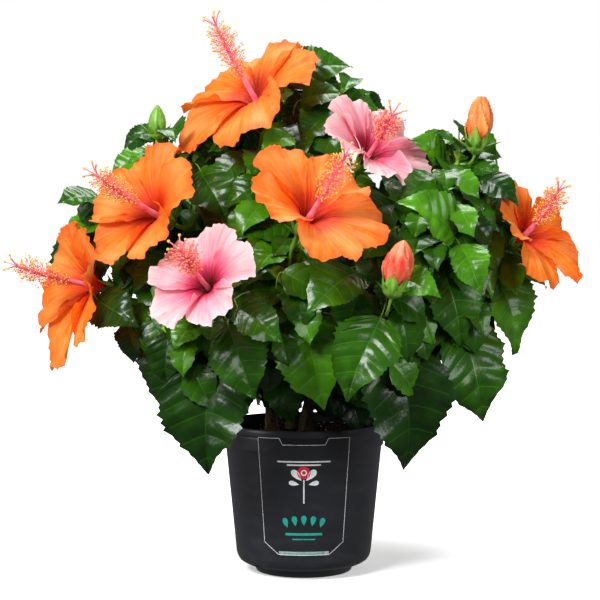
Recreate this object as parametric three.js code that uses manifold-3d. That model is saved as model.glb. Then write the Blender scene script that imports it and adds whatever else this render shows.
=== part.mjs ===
// Potted hibiscus shrub: a nursery pot with its potting mix, three woody stems, their boughs, leafy shoots,
// open blooms and closed buds. Millimetres, +Z up. The origin is the centre of the pot's flat underside and
// the pot's printed panel faces -Y.
import * as THREE from 'three';
import { mergeVertices } from 'three/addons/utils/BufferGeometryUtils.js';
import Module from 'manifold-3d';

const wasm = await Module();
wasm.setup();

// ---- driving dimensions ----
const POT = {
  height: 160,
  rimRadius: 87,
  collarRadius: 85.5,
  collarHeight: 25,
  shoulderRadius: 83.6,
  footRadius: 51,
  ledgeHeight: 9,
  ledgeRadius: 72,
  ledgeRound: 10,
  wall: 1.8,
  notches: 3,
  notchAngle: -18,
  notchWidth: 12,
  sides: 28,
};
const SOIL_LEVEL = 150;
const CLEAR = 0.3; // gap that every pair of neighbouring solids keeps
const ROOMY = 1.3 * CLEAR; // the same gap, measured at the corners of a faceted tube
const STEM = { footRadius: 6.2, tipRadius: 4.2, flare: 2.2, sides: 8, steps: 5 };
const BOUGH = { footRadius: 3.6, tipRadius: 2.4, dip: 0.1, sides: 4, steps: 4 };
const SHOOT = { footRadius: 2.3, tipRadius: 1.5, follow: 0.28, sides: 4, steps: 4 };
const TWIG = { footRadius: 1.9, tipRadius: 1.5, reach: 0.62, places: [0.35, 0.65], sides: 3, steps: 1 };
const STALK = { radius: 1.8, budRadius: 1.5, approach: 0.45, sides: 4, steps: 4 };
const PETIOLE = { rootRadius: 0.6, radius: 0.95, share: 0.34, sunk: 0.2 };
const LEAF = { width: 0.36, arch: 0.05, fold: 0.16, thickness: 0.03, stations: [0.12, 0.38, 0.74] };
const BUD = { sides: 6, steps: 6, radii: [0.2, 0.75, 1.05, 0.9, 0.95, 0.62, 0.1] };
const COROLLA = { rows: 3, columns: 15, lobes: 5, thickness: 1.8, footRadius: 2.5, curl: 18 };
const COLUMN = { sag: 2, rise: 5, brushFrom: 0.5, brushTo: 0.93, sides: 4, brushSides: 5, steps: 3 };
const CALYX = { foot: -10, belly: 4, throat: 9 };
const GOLDEN = Math.PI * (3 - Math.sqrt(5));
// Where a leading leaf is tried: how far behind its place, and at which shares of its shoot.
const LEAD_TRIES = { back: [0, 12, -12, 24, 36], places: [0.3, 0.45, 0.6, 0.75, 0.9] };
// How a grown leaf is tried: turned about its branch and dropped further (degrees).
const LEAF_TRIES = { swings: [0, 25, -25, 50, -50, 80, -80, 110, -110, 145, -145, 180], drops: [0, 20, -20] };

// An orange bloom is large, with a long column; a pink bloom is smaller and rounder.
const ORANGE = {
  petal: 104, funnel: 15, ruffle: 4, column: 118, columnRadius: 2.3, brush: 6.5, receptacle: 20, calyx: 8.5,
};
const PINK = {
  petal: 80, funnel: 15, ruffle: 3, column: 80, columnRadius: 1.9, brush: 6, receptacle: 18, calyx: 7.5,
};

// Stems rise from the mix and lean outward to their tips.
const STEMS = {
  stem_left: { foot: [-34, -12], tip: [-60, -15, 250] },
  stem_right: { foot: [2, -6], tip: [52, -20, 255] },
  stem_back: { foot: [-12, 22], tip: [0, 55, 262] },
};

// Every mass of foliage: the stem and the share of its length where the bough leaves it, the bough's tip,
// the end of the shoot that carries on from there, the half sizes of the space its leaves keep to, the length
// of a grown leaf, how far its leaves hang, and how many leaves the growth rule tries. The leading leaves are
// those that carry the crown's outline: tip, length, heading in plan and droop.
const MASSES = {
  low_left: {
    stem: 'stem_left', at: 0.62, bough: [-95, -45, 262], shoot: [-124, -66, 296], space: [80, 75, 110],
    leaf: 92, droop: 62, leaves: 7, leads: [[-145, -85, 175, 107, -139, 71]],
  },
  front_left: {
    stem: 'stem_left', at: 0.84, bough: [-76, -78, 262], shoot: [-88, -118, 286], space: [70, 65, 110],
    leaf: 88, droop: 66, leaves: 5, leads: [[-98, -135, 122, 126, -114, 82], [-48, -175, 203, 79, -29, 67]],
  },
  front_centre: {
    stem: 'stem_right', at: 0.72, bough: [-14, -92, 280], shoot: [-14, -130, 312], space: [70, 65, 90],
    leaf: 80, droop: 62, leaves: 6,
    leads: [[21, -155, 193, 103, -48, 67], [-21, -200, 263, 60, -30, 30], [5, -195, 293, 75, -137, 27]],
  },
  front_right: {
    stem: 'stem_right', at: 0.88, bough: [62, -84, 274], shoot: [86, -122, 296], space: [70, 60, 110],
    leaf: 84, droop: 66, leaves: 5, leads: [[40, -195, 205, 90, -145, 61], [107, -140, 128, 127, -55, 78]],
  },
  right: {
    stem: 'stem_right', at: 0.95, bough: [148, -12, 328], shoot: [194, -38, 356], space: [75, 80, 80],
    leaf: 84, droop: 45, leaves: 7, leads: [[226, -62, 240, 97, -30, 68], [256, -45, 309, 76, -23, 33]],
  },
  low_right: {
    stem: 'stem_right', at: 0.68, bough: [112, -48, 280], shoot: [146, -84, 312], space: [75, 75, 105],
    leaf: 88, droop: 60, leaves: 6,
    leads: [[185, -110, 174, 108, -33, 70], [162, -140, 253, 90, -45, 67], [137, -75, 241, 77, -35, 55]],
  },
  mid_right: {
    stem: 'stem_right', at: 1, bough: [108, -78, 342], shoot: [142, -124, 376], space: [65, 60, 65],
    leaf: 74, droop: 40, leaves: 6,
    leads: [[95, -172, 401, 76, -147, -28], [176, -165, 307, 58, -52, 54], [133, -192, 307, 52, -34, 14]],
  },
  upper_right: {
    stem: 'stem_right', at: 0.92, bough: [120, -18, 392], shoot: [160, -46, 432], space: [72, 75, 70],
    leaf: 68, droop: 30, leaves: 9,
    leads: [[110, -60, 462, 50, -151, -34], [206, -75, 412, 52, -35, 26], [218, -95, 395, 54, -33, 27]],
  },
  top: {
    stem: 'stem_back', at: 0.9, bough: [-8, -2, 424], shoot: [18, 4, 500], space: [85, 75, 80],
    leaf: 80, droop: 22, leaves: 11, leads: [[49, -15, 542, 70, -13, -15], [-4, -50, 460, 70, -148, 37]],
  },
  upper_left: {
    stem: 'stem_left', at: 0.92, bough: [-112, -8, 398], shoot: [-146, -22, 446], space: [75, 75, 75],
    leaf: 74, droop: 28, leaves: 10, leads: [[-193, -30, 452, 54, -165, 22], [-77, -95, 376, 70, -49, 49]],
  },
  left: {
    stem: 'stem_left', at: 0.86, bough: [-158, -18, 326], shoot: [-204, -40, 362], space: [70, 80, 85],
    leaf: 80, droop: 42, leaves: 7,
    leads: [[-253, -85, 398, 52, -145, 0], [-168, -125, 273, 66, -42, 21], [-231, -35, 269, 110, -103, 82]],
  },
  centre: {
    stem: 'stem_left', at: 1, bough: [-44, -52, 356], shoot: [-34, -86, 404], space: [80, 70, 75],
    leaf: 78, droop: 36, leaves: 8, leads: [[-68, -135, 363, 60, -153, 11]],
  },
  back_top: {
    stem: 'stem_back', at: 1, bough: [-34, 92, 400], shoot: [-46, 122, 454], space: [100, 85, 90],
    leaf: 92, droop: 40, leaves: 12, leads: [],
  },
  back_left: {
    stem: 'stem_back', at: 0.76, bough: [-112, 80, 328], shoot: [-158, 112, 366], space: [95, 95, 100],
    leaf: 98, droop: 48, leaves: 11, leads: [],
  },
  back_right: {
    stem: 'stem_back', at: 0.84, bough: [112, 74, 336], shoot: [156, 106, 382], space: [95, 95, 100],
    leaf: 98, droop: 46, leaves: 11, leads: [],
  },
  heart: {
    stem: 'stem_back', at: 0.96, bough: [2, 24, 330], shoot: [4, 10, 388], space: [110, 75, 90],
    leaf: 90, droop: 45, leaves: 9, leads: [],
  },
  inner: {
    stem: 'stem_back', at: 0.5, bough: [-16, 78, 262], shoot: [-6, 122, 300], space: [95, 90, 110],
    leaf: 98, droop: 62, leaves: 9, leads: [],
  },
  low_back_left: {
    stem: 'stem_back', at: 0.6, bough: [-78, 108, 270], shoot: [-106, 148, 304], space: [95, 95, 115],
    leaf: 104, droop: 64, leaves: 9, leads: [],
  },
  low_back_right: {
    stem: 'stem_back', at: 0.66, bough: [80, 110, 272], shoot: [108, 150, 306], space: [95, 95, 115],
    leaf: 104, droop: 64, leaves: 9, leads: [],
  },
};

// Every bloom: its kind, the shoot and the share of its length where the flower stalk leaves it, the centre of
// its throat, the way it faces, the turn of its petals (degrees), how far they open from the axis (degrees),
// how far the lower ones hang and its size against its kind.
const BLOOMS = {
  bloom_top: {
    kind: ORANGE, on: 'top', at: 0.12, throat: [-50, -20, 502], face: [-0.47, -0.36, 0.81],
    turn: 0, open: 74, hang: 34, size: 1, column: 1.12,
  },
  bloom_upper_left: {
    kind: ORANGE, on: 'upper_left', at: 0.1, throat: [-149, -110, 384], face: [-0.67, -0.61, 0.42],
    turn: 10, open: 70, hang: 0, size: 0.84, column: 0.98,
  },
  bloom_centre: {
    kind: ORANGE, on: 'front_centre', at: 0.96, throat: [5, -172, 382], face: [0.43, -0.58, 0.69],
    turn: 8, open: 70, hang: 0, size: 0.9, column: 0.98,
  },
  bloom_left: {
    kind: ORANGE, on: 'left', at: 0.3, throat: [-217, -62, 309], face: [-0.85, -0.48, 0.2],
    turn: 30, open: 62, hang: 30, size: 0.8, column: 0.98,
  },
  bloom_right: {
    kind: ORANGE, on: 'right', at: 0.85, throat: [226, -72, 360], face: [0.66, -0.5, 0.56],
    turn: 0, open: 66, hang: 20, size: 0.7, column: 0.76,
  },
  bloom_low_left: {
    kind: PINK, on: 'front_left', at: 0.95, throat: [-95, -185, 316], face: [-0.46, -0.66, 0.6],
    turn: 5, open: 73, hang: 0, size: 0.92, column: 1,
  },
  bloom_upper_right: {
    kind: PINK, on: 'upper_right', at: 0.05, throat: [67, -62, 445], face: [0.48, -0.51, 0.71],
    turn: -8, open: 70, hang: 0, size: 0.97, column: 1,
  },
  bloom_back_top: {
    kind: ORANGE, on: 'back_top', at: 0.95, throat: [-16, 178, 446], face: [-0.15, 0.85, 0.5],
    turn: 12, open: 72, hang: 16, size: 0.74, column: 0.86,
  },
  bloom_back_right: {
    kind: PINK, on: 'back_right', at: 0.95, throat: [150, 172, 364], face: [0.45, 0.8, 0.38],
    turn: 20, open: 72, hang: 8, size: 0.86, column: 0.9,
  },
  bloom_back_left: {
    kind: PINK, on: 'back_left', at: 0.95, throat: [-136, 176, 344], face: [-0.5, 0.78, 0.36],
    turn: 0, open: 72, hang: 8, size: 0.82, column: 0.88,
  },
  bloom_low_back: {
    kind: ORANGE, on: 'low_back_right', at: 0.95, throat: [60, 214, 296], face: [0.1, 0.92, 0.36],
    turn: 5, open: 70, hang: 14, size: 0.7, column: 0.82,
  },
};

// Every bud: its shoot, the share of its length where the stalk leaves it, the bud's foot, its tip and its
// greatest radius.
const BUDS = {
  bud_upper_left: { on: 'upper_left', at: 0.96, foot: [-154, -34, 466], tip: [-153, -34, 497], radius: 8.5 },
  bud_top: { on: 'top', at: 0.9, foot: [46, 2, 484], tip: [44, 2, 514], radius: 7.5 },
  bud_opening: { on: 'upper_right', at: 0.97, foot: [177, -66, 452], tip: [184, -66, 504], radius: 12 },
  bud_red: { on: 'front_right', at: 0.96, foot: [86, -192, 311], tip: [97, -194, 360], radius: 12.5 },
};

// ---- materials ----
const material = (color, roughness) => new THREE.MeshStandardMaterial({ color, roughness, metalness: 0 });
const PLASTIC = material(0x34353a, 0.45);
const MIX = material(0x2b2119, 0.95);
const BARK = material(0x5d4a34, 0.8);
const FOLIAGE = material(0x23551a, 0.35);
const ORANGE_PETAL = material(0xff7f24, 0.55);
const PINK_PETAL = material(0xf7a6b4, 0.55);
const GREEN_BUD = material(0x6f9a2c, 0.5);
const RED_BUD = material(0xef5a3c, 0.5);

// ---- small tools ----
const vec = (values) => new THREE.Vector3(...values);
const UP = vec([0, 0, 1]);
const radians = THREE.MathUtils.degToRad;
const mix = (a, b, t) => a + (b - a) * t;
const smooth = (t) => THREE.MathUtils.smoothstep(t, 0, 1);
// Part of a vector that stands square to an axis, at unit length.
const square = (v, axis) => v.clone().addScaledVector(axis, -v.dot(axis)).normalize();
const combine = (...terms) => terms.reduce((sum, [v, scale]) => sum.addScaledVector(v, scale), new THREE.Vector3());

// Repeatable numbers between 0 and 1.
class Dice {
  constructor(seed) {
    this.state = seed * 7919 + 104729;
  }

  between(low, high) {
    this.state = (this.state * 16807) % 2147483647;
    return low + ((high - low) * this.state) / 2147483647;
  }
}

function surface(positions, index) {
  const geometry = new THREE.BufferGeometry();
  geometry.setAttribute('position', new THREE.Float32BufferAttribute(positions, 3));
  geometry.setIndex(index);
  return geometry;
}

function toSolid(geometry) {
  const bare = geometry.clone();
  bare.deleteAttribute('uv');
  bare.deleteAttribute('normal');
  const merged = mergeVertices(bare, 1e-4);
  return new wasm.Manifold(new wasm.Mesh({
    numProp: 3,
    vertProperties: new Float32Array(merged.attributes.position.array),
    triVerts: new Uint32Array(merged.index.array),
  }));
}

function toMesh(solid, name, look) {
  const body = largest(solid);
  const { vertProperties, triVerts } = body.getMesh();
  const mesh = new THREE.Mesh(surface(Array.from(vertProperties), Array.from(triVerts)), look);
  mesh.name = name;
  return mesh;
}

// The largest body of a solid, once loose scraps are dropped.
const largest = (solid) => solid.decompose().sort((a, b) => b.volume() - a.volume())[0];

// A closed tube of changing radius along a curve, larger all round by `grow`.
function tube(curve, radiusAt, sides, steps, grow = 0) {
  const frames = curve.computeFrenetFrames(steps, false);
  const positions = [];
  const index = [];
  for (let step = 0; step <= steps; step += 1) {
    const end = Number(step === steps) - Number(step === 0);
    const centre = combine([curve.getPointAt(step / steps), 1], [frames.tangents[step], end * grow]);
    const radius = radiusAt(step / steps) + grow;
    for (let side = 0; side < sides; side += 1) {
      const angle = (2 * Math.PI * side) / sides;
      const point = combine(
        [centre, 1],
        [frames.normals[step], Math.cos(angle) * radius],
        [frames.binormals[step], Math.sin(angle) * radius],
      );
      positions.push(...point.toArray());
      if (step < steps) {
        const here = step * sides + side;
        const next = step * sides + ((side + 1) % sides);
        index.push(here, next, next + sides, here, next + sides, here + sides);
      }
    }
  }
  const last = steps * sides;
  for (let side = 1; side < sides - 1; side += 1) {
    index.push(0, side + 1, side, last, last + side, last + side + 1);
  }
  return toSolid(surface(positions, index));
}

const bend = (from, middle, to) => new THREE.QuadraticBezierCurve3(from, middle, to);

// A limb keeps its curve, its radius rule and the copy, larger by the gap, that its neighbours are cut with.
function makeLimb(curve, radiusAt, { sides, steps }) {
  return {
    curve,
    solid: tube(curve, radiusAt, sides, steps),
    clear: tube(curve, radiusAt, sides, steps, ROOMY),
  };
}

// ---- what has been placed, and what a new piece would touch ----
const placed = [];

function boxesMeet(a, b) {
  return [0, 1, 2].every((axis) => a.min[axis] <= b.max[axis] && b.min[axis] <= a.max[axis]);
}

function meets(solid, others) {
  const box = solid.boundingBox();
  return others.some((other) => {
    if (!boxesMeet(box, other.box)) return false;
    const shared = solid.intersect(other.solid);
    const touching = !shared.isEmpty();
    shared.delete();
    return touching;
  });
}

function place(name, solid) {
  placed.push({ name, solid, box: solid.boundingBox() });
}

// ---- pot and mix ----
function lathe(profile, sides) {
  const points = profile.map(([radius, height]) => new THREE.Vector2(radius, height));
  return toSolid(new THREE.LatheGeometry(points, sides).rotateX(Math.PI / 2));
}

function wallRadius(height) {
  const foot = POT.ledgeHeight + POT.ledgeRound;
  const shoulder = POT.height - POT.collarHeight;
  return mix(POT.ledgeRadius, POT.shoulderRadius, (height - foot) / (shoulder - foot));
}

function makePot() {
  const { height, rimRadius, collarRadius, collarHeight, footRadius, ledgeHeight, ledgeRound, wall } = POT;
  const shoulder = height - collarHeight;
  const roundTop = ledgeHeight + ledgeRound;
  const outside = [
    [0, 0], [footRadius, 0], [footRadius + 3, ledgeHeight],
    [POT.ledgeRadius - ledgeRound, ledgeHeight], [POT.ledgeRadius - 3, ledgeHeight + 4],
    [POT.ledgeRadius, roundTop], [POT.shoulderRadius, shoulder], [collarRadius, shoulder + 1],
    [rimRadius, height - 3], [rimRadius - 1, height],
  ];
  const inside = [
    [rimRadius - 3, height], [rimRadius - 3.6, height - 3], [POT.shoulderRadius - wall, shoulder],
    [POT.ledgeRadius - wall, roundTop], [POT.ledgeRadius - ledgeRound, ledgeHeight + 2 * wall],
    [footRadius - wall, ledgeHeight + wall], [footRadius - wall, 2 * wall], [0, 2 * wall],
  ];
  let pot = lathe([...outside, ...inside], POT.sides);
  for (let notch = 0; notch < POT.notches; notch += 1) {
    const angle = radians(POT.notchAngle + (360 * notch) / POT.notches);
    const cutter = new THREE.BoxGeometry(14, POT.notchWidth, 10).translate(POT.ledgeRadius - 4, 0, ledgeHeight)
      .rotateZ(angle);
    pot = pot.subtract(toSolid(cutter));
  }
  return pot;
}

function makeMix() {
  const { footRadius, ledgeHeight, ledgeRound, wall } = POT;
  const gap = 0.4;
  const roundTop = ledgeHeight + ledgeRound;
  const profile = [
    [0, 2 * wall + gap], [footRadius - wall - gap, 2 * wall + gap],
    [footRadius - wall - gap, ledgeHeight + wall + gap],
    [POT.ledgeRadius - ledgeRound - gap, ledgeHeight + 2 * wall + gap],
    [POT.ledgeRadius - wall - gap, roundTop], [wallRadius(SOIL_LEVEL) - wall - 3 * gap, SOIL_LEVEL], [0, SOIL_LEVEL],
  ];
  return lathe(profile, POT.sides);
}

// ---- wood ----
const limbs = {};

function makeStem({ foot, tip }) {
  const start = vec([...foot, SOIL_LEVEL + CLEAR]);
  const end = vec(tip);
  const curve = bend(start, vec([...foot, mix(start.z, end.z, 0.55)]), end);
  const radiusAt = (t) => mix(STEM.footRadius, STEM.tipRadius, t) + STEM.flare * (1 - t) ** 8;
  return makeLimb(curve, radiusAt, STEM);
}

// A bough leaves its stem outward and then climbs to its tip.
function makeBough({ stem, at, bough }) {
  const start = limbs[stem].curve.getPointAt(at);
  const end = vec(bough);
  const reach = end.clone().sub(start);
  const middle = combine([start, 1], [reach, 0.5], [UP, -BOUGH.dip * Math.hypot(reach.x, reach.y)]);
  const radiusAt = (t) => mix(BOUGH.footRadius, BOUGH.tipRadius, t);
  return makeLimb(bend(start, middle, end), radiusAt, BOUGH);
}

// The shoot carries on from the bough's tip and is the one stem of its mass of foliage.
function makeShoot(name, mass) {
  const start = limbs[`bough_${name}`].curve.getPointAt(1);
  const end = vec(mass.shoot);
  const onward = limbs[`bough_${name}`].curve.getTangentAt(1);
  const middle = combine([start, 1], [onward, SHOOT.follow * start.distanceTo(end)]);
  const radiusAt = (t) => mix(SHOOT.footRadius, SHOOT.tipRadius, t);
  return makeLimb(bend(start, middle, end), radiusAt, SHOOT);
}

// ---- blooms ----
// Centre line of a petal, as radius and height about the bloom's axis, and its lean from that axis.
function petalLine(bloom, s) {
  const { kind, open, size } = bloom;
  const steps = 16;
  const leanAt = (t) => radians(mix(kind.funnel, open, smooth(2 * t)) + COROLLA.curl * t ** 3);
  let radius = COROLLA.footRadius;
  let height = 0;
  for (let step = 0; step < steps; step += 1) {
    const lean = leanAt(((step + 0.5) / steps) * s);
    radius += (Math.sin(lean) * s * kind.petal * size) / steps;
    height += (Math.cos(lean) * s * kind.petal * size) / steps;
  }
  return { radius, height, lean: leanAt(s) };
}

// The frame of a bloom: axis, the direction square to it that is nearest to up, and the third direction.
function bloomFrame(bloom) {
  const axis = vec(bloom.face).normalize();
  const high = square(UP, axis);
  const across = axis.clone().cross(high);
  const receptacle = combine([vec(bloom.throat), 1], [axis, -bloom.kind.receptacle * bloom.size]);
  return { axis, high, across, receptacle };
}

// A point of the corolla: s runs from its foot to its outer margin, turn (radians) goes round the axis, and
// raise lifts the point towards the axis. Five lobes stand for the five overlapping petals.
function corollaPoint(bloom, frame, s, turn, raise) {
  const { kind, size } = bloom;
  const lobe = Math.cos(COROLLA.lobes * turn);
  const reach = s * (0.95 + 0.05 * lobe * s);
  const line = petalLine(bloom, reach);
  const angle = turn + radians(bloom.turn);
  const out = combine([frame.high, Math.cos(angle)], [frame.across, Math.sin(angle)]);
  const inward = combine([out, -Math.cos(line.lean)], [frame.axis, Math.sin(line.lean)]);
  const ripple = kind.ruffle * size * s ** 3 * Math.sin(2 * COROLLA.lobes * turn + 1);
  const sag = bloom.hang * (0.5 - 0.5 * out.z) * reach ** 2.4;
  return combine(
    [frame.receptacle, 1], [out, line.radius], [frame.axis, line.height], [inward, ripple + raise], [UP, -sag],
  );
}

// The corolla and its calyx as one shell: from the foot of the calyx up the outside to the thin margin, then
// down the inside to the bottom of the throat.
function makeCorolla(bloom, frame) {
  const { rows, columns, thickness } = COROLLA;
  const { calyx } = bloom.kind;
  const { size } = bloom;
  const around = (make) => Array.from({ length: columns }, (_, column) => make((2 * Math.PI * column) / columns));
  const onAxis = (height) => combine([frame.receptacle, 1], [frame.axis, height * size]);
  const calyxRing = (height) => around((turn) => combine(
    [onAxis(height), 1], [frame.high, Math.cos(turn) * calyx * size], [frame.across, Math.sin(turn) * calyx * size],
  ));
  const corollaRing = (row, raise) => around((turn) => corollaPoint(bloom, frame, row / rows, turn, raise));
  const rings = [[onAxis(CALYX.foot)], calyxRing(CALYX.belly)];
  for (let row = 1; row < rows; row += 1) rings.push(corollaRing(row, -thickness / 2));
  rings.push(corollaRing(rows, 0));
  for (let row = rows - 1; row > 0; row -= 1) rings.push(corollaRing(row, thickness / 2));
  rings.push([onAxis(CALYX.throat)]);
  return shell(rings, columns);
}

// A closed shell through rings of points, whose first and last rings are single points.
function shell(rings, columns) {
  const positions = [];
  const numbers = rings.map((ring) => ring.map((point) => positions.push(...point.toArray()) / 3 - 1));
  const at = (ring, column) => numbers[ring][column % numbers[ring].length];
  const index = [];
  for (let ring = 0; ring < rings.length - 1; ring += 1) {
    for (let column = 0; column < columns; column += 1) {
      const corners = [at(ring, column), at(ring, column + 1), at(ring + 1, column + 1), at(ring + 1, column)];
      if (corners[0] !== corners[1]) index.push(corners[0], corners[1], corners[2]);
      if (corners[2] !== corners[3]) index.push(corners[0], corners[2], corners[3]);
    }
  }
  return toSolid(surface(positions, index));
}

// Radius rule that runs evenly through a list of radii.
const through = (radii) => (t) => {
  const spot = t * (radii.length - 1);
  const low = Math.min(Math.floor(spot), radii.length - 2);
  return mix(radii[low], radii[low + 1], spot - low);
};

function stalkCurve(limb, at, end, axis) {
  const start = limb.curve.getPointAt(at);
  return bend(start, combine([end, 1], [axis, -STALK.approach * start.distanceTo(end)]), end);
}

function makeBloom(bloom) {
  const { kind, size } = bloom;
  const frame = bloomFrame(bloom);
  const limb = limbs[`shoot_${bloom.on}`];
  const base = combine([frame.receptacle, 1], [frame.axis, -4 * size]);
  const length = kind.column * bloom.column;
  const columnEnd = combine([frame.receptacle, 1], [frame.axis, length], [UP, COLUMN.rise]);
  const columnMiddle = combine([frame.receptacle, 1], [frame.axis, 0.5 * length], [UP, -COLUMN.sag]);
  const column = bend(frame.receptacle, columnMiddle, columnEnd);
  const { brushFrom, brushTo } = COLUMN;
  const brush = bend(...[brushFrom, mix(brushFrom, brushTo, 0.5), brushTo].map((t) => column.getPointAt(t)));
  const parts = [
    tube(stalkCurve(limb, bloom.at, base, frame.axis), () => STALK.radius, STALK.sides, STALK.steps),
    tube(column, through([kind.columnRadius + 0.6, kind.columnRadius, 1.2]), COLUMN.sides, COLUMN.steps),
    tube(brush, through([kind.columnRadius + 0.4, kind.brush, kind.brush, 2]), COLUMN.brushSides, COLUMN.steps),
    makeCorolla(bloom, frame),
  ];
  return wasm.Manifold.union(parts).subtract(limb.clear).subtract(limbs[`bough_${bloom.on}`].clear);
}

function makeBud({ on, at, foot, tip, radius }) {
  const start = vec(foot);
  const end = vec(tip);
  const axis = end.clone().sub(start).normalize();
  const base = combine([start, 1], [axis, -radius * 0.6]);
  const limb = limbs[`shoot_${on}`];
  const parts = [
    tube(stalkCurve(limb, at, start, axis), () => STALK.budRadius, STALK.sides, STALK.steps),
    tube(new THREE.LineCurve3(base, end), through(BUD.radii.map((share) => share * radius)), BUD.sides, BUD.steps),
  ];
  return wasm.Manifold.union(parts).subtract(limb.clear);
}

// ---- leaves ----
// A leaf's direction from foot to tip, by its heading in plan and its droop below the horizontal (degrees).
function leafDirection(heading, droop) {
  const level = Math.cos(radians(droop));
  return vec([level * Math.cos(radians(heading)), level * Math.sin(radians(heading)), -Math.sin(radians(droop))]);
}

// The upper face of a leaf looks up and away from the middle of the crown.
function leafFace(middle, direction) {
  const outward = vec([middle.x / 500, (middle.y - 60) / 150, 0]).normalize();
  return square(combine([outward, 0.9], [UP, 0.6]), direction);
}

const leafHalfWidth = (s) => Math.sin(Math.PI * s ** 0.62) ** (0.8 + 0.5 * s);

// A leaf is one run of four-cornered sections: its stalk from the node, the foot, the stations of the blade
// and the tip. Without its stalk it starts at the foot.
function makeLeaf({ node, foot, tip, face }, grow = 0, withStalk = true) {
  const along = tip.clone().sub(foot);
  const length = along.length();
  const blade = along.clone().normalize();
  const side = blade.clone().cross(face);
  const section = (middle, half, thick, rise, heading = blade) => {
    const turn = new THREE.Quaternion().setFromUnitVectors(blade, heading);
    const [across, up] = [side, face].map((v) => v.clone().applyQuaternion(turn));
    return [
      combine([middle, 1], [across, -half], [up, rise]), combine([middle, 1], [up, thick]),
      combine([middle, 1], [across, half], [up, rise]), combine([middle, 1], [up, -thick]),
    ];
  };
  const slim = PETIOLE.radius + grow;
  const stalk = foot.clone().sub(node).normalize();
  const root = combine([node, 1], [stalk, -PETIOLE.sunk]);
  const narrow = PETIOLE.rootRadius + grow;
  const rings = withStalk ? [[root], section(root, narrow, narrow, 0, stalk)] : [[foot]];
  rings.push(section(foot, slim, slim, 0, combine([stalk, 1], [blade, 1]).normalize()));
  for (const s of LEAF.stations) {
    const half = LEAF.width * length * leafHalfWidth(s) + grow;
    const thick = 0.5 * LEAF.thickness * length * (1.15 - 0.5 * s) + grow;
    const middle = combine([foot, 1], [along, s], [face, 4 * s * (1 - s) * LEAF.arch * length]);
    rings.push(section(middle, half, thick, LEAF.fold * half));
  }
  return shell([...rings, [combine([tip, 1], [blade, grow])]], 4);
}

function grownLeaf(node, foot, direction, length) {
  const tip = combine([foot, 1], [direction, length]);
  return { node, foot, tip, face: leafFace(foot.clone().lerp(tip, 0.5), direction) };
}

// A leading leaf hangs from the shoot, from its nearest point first, at the place stated for it or a little
// behind that.
function leadChoices(limb, [x, y, z, length, heading, droop]) {
  const direction = leafDirection(heading, droop);
  return LEAD_TRIES.back.flatMap((back) => {
    const foot = combine([vec([x, y + back, z]), 1], [direction, -length]);
    const nodes = LEAD_TRIES.places.map((at) => limb.curve.getPointAt(at));
    nodes.sort((a, b) => a.distanceTo(foot) - b.distanceTo(foot));
    return nodes.map((node) => grownLeaf(node, foot, direction, length));
  });
}

// Two side twigs leave each shoot, a golden angle apart.
function makeTwigs(mass, limb, dice) {
  return TWIG.places.map((at, order) => {
    const start = limb.curve.getPointAt(at);
    const onward = limb.curve.getTangentAt(at);
    const turn = (order + 1) * GOLDEN + dice.between(0, 1.5);
    const level = square(Math.abs(onward.z) > 0.9 ? vec([1, 0, 0]) : UP, onward);
    const beside = onward.clone().cross(level);
    const away = combine([level, Math.cos(turn)], [beside, Math.sin(turn)], [onward, 0.7], [UP, 0.25]).normalize();
    const reach = TWIG.reach * mass.leaf * dice.between(0.8, 1.1);
    return new THREE.LineCurve3(start, combine([start, 1], [away, reach]));
  });
}

// Places to try for one leaf of the growth rule, best first: turned about its twig and dropped a little more.
function leafChoices(mass, branch, at, turn, size, droop) {
  const node = branch.getPointAt(at);
  const onward = branch.getTangentAt(at);
  const level = square(Math.abs(onward.z) > 0.9 ? vec([1, 0, 0]) : UP, onward);
  const beside = onward.clone().cross(level);
  const crownOut = vec([node.x, node.y - 20, 0]).normalize();
  const choices = [];
  for (const swing of LEAF_TRIES.swings) {
    for (const extra of LEAF_TRIES.drops) {
      const angle = turn + radians(swing);
      const away = combine([level, Math.cos(angle)], [beside, Math.sin(angle)], [onward, 0.5], [crownOut, 0.45]);
      const heading = THREE.MathUtils.radToDeg(Math.atan2(away.y, away.x));
      const rising = combine([away.clone().normalize(), 1], [UP, 0.35]).normalize();
      const foot = combine([node, 1], [rising, PETIOLE.share * size]);
      choices.push(grownLeaf(node, foot, leafDirection(heading, droop + extra), size));
    }
  }
  return choices;
}

const insideSpace = (point, centre, space) =>
  ((point.x - centre.x) / space[0]) ** 2 + ((point.y - centre.y) / space[1]) ** 2 +
  ((point.z - centre.z) / space[2]) ** 2 <= 1;

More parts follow.
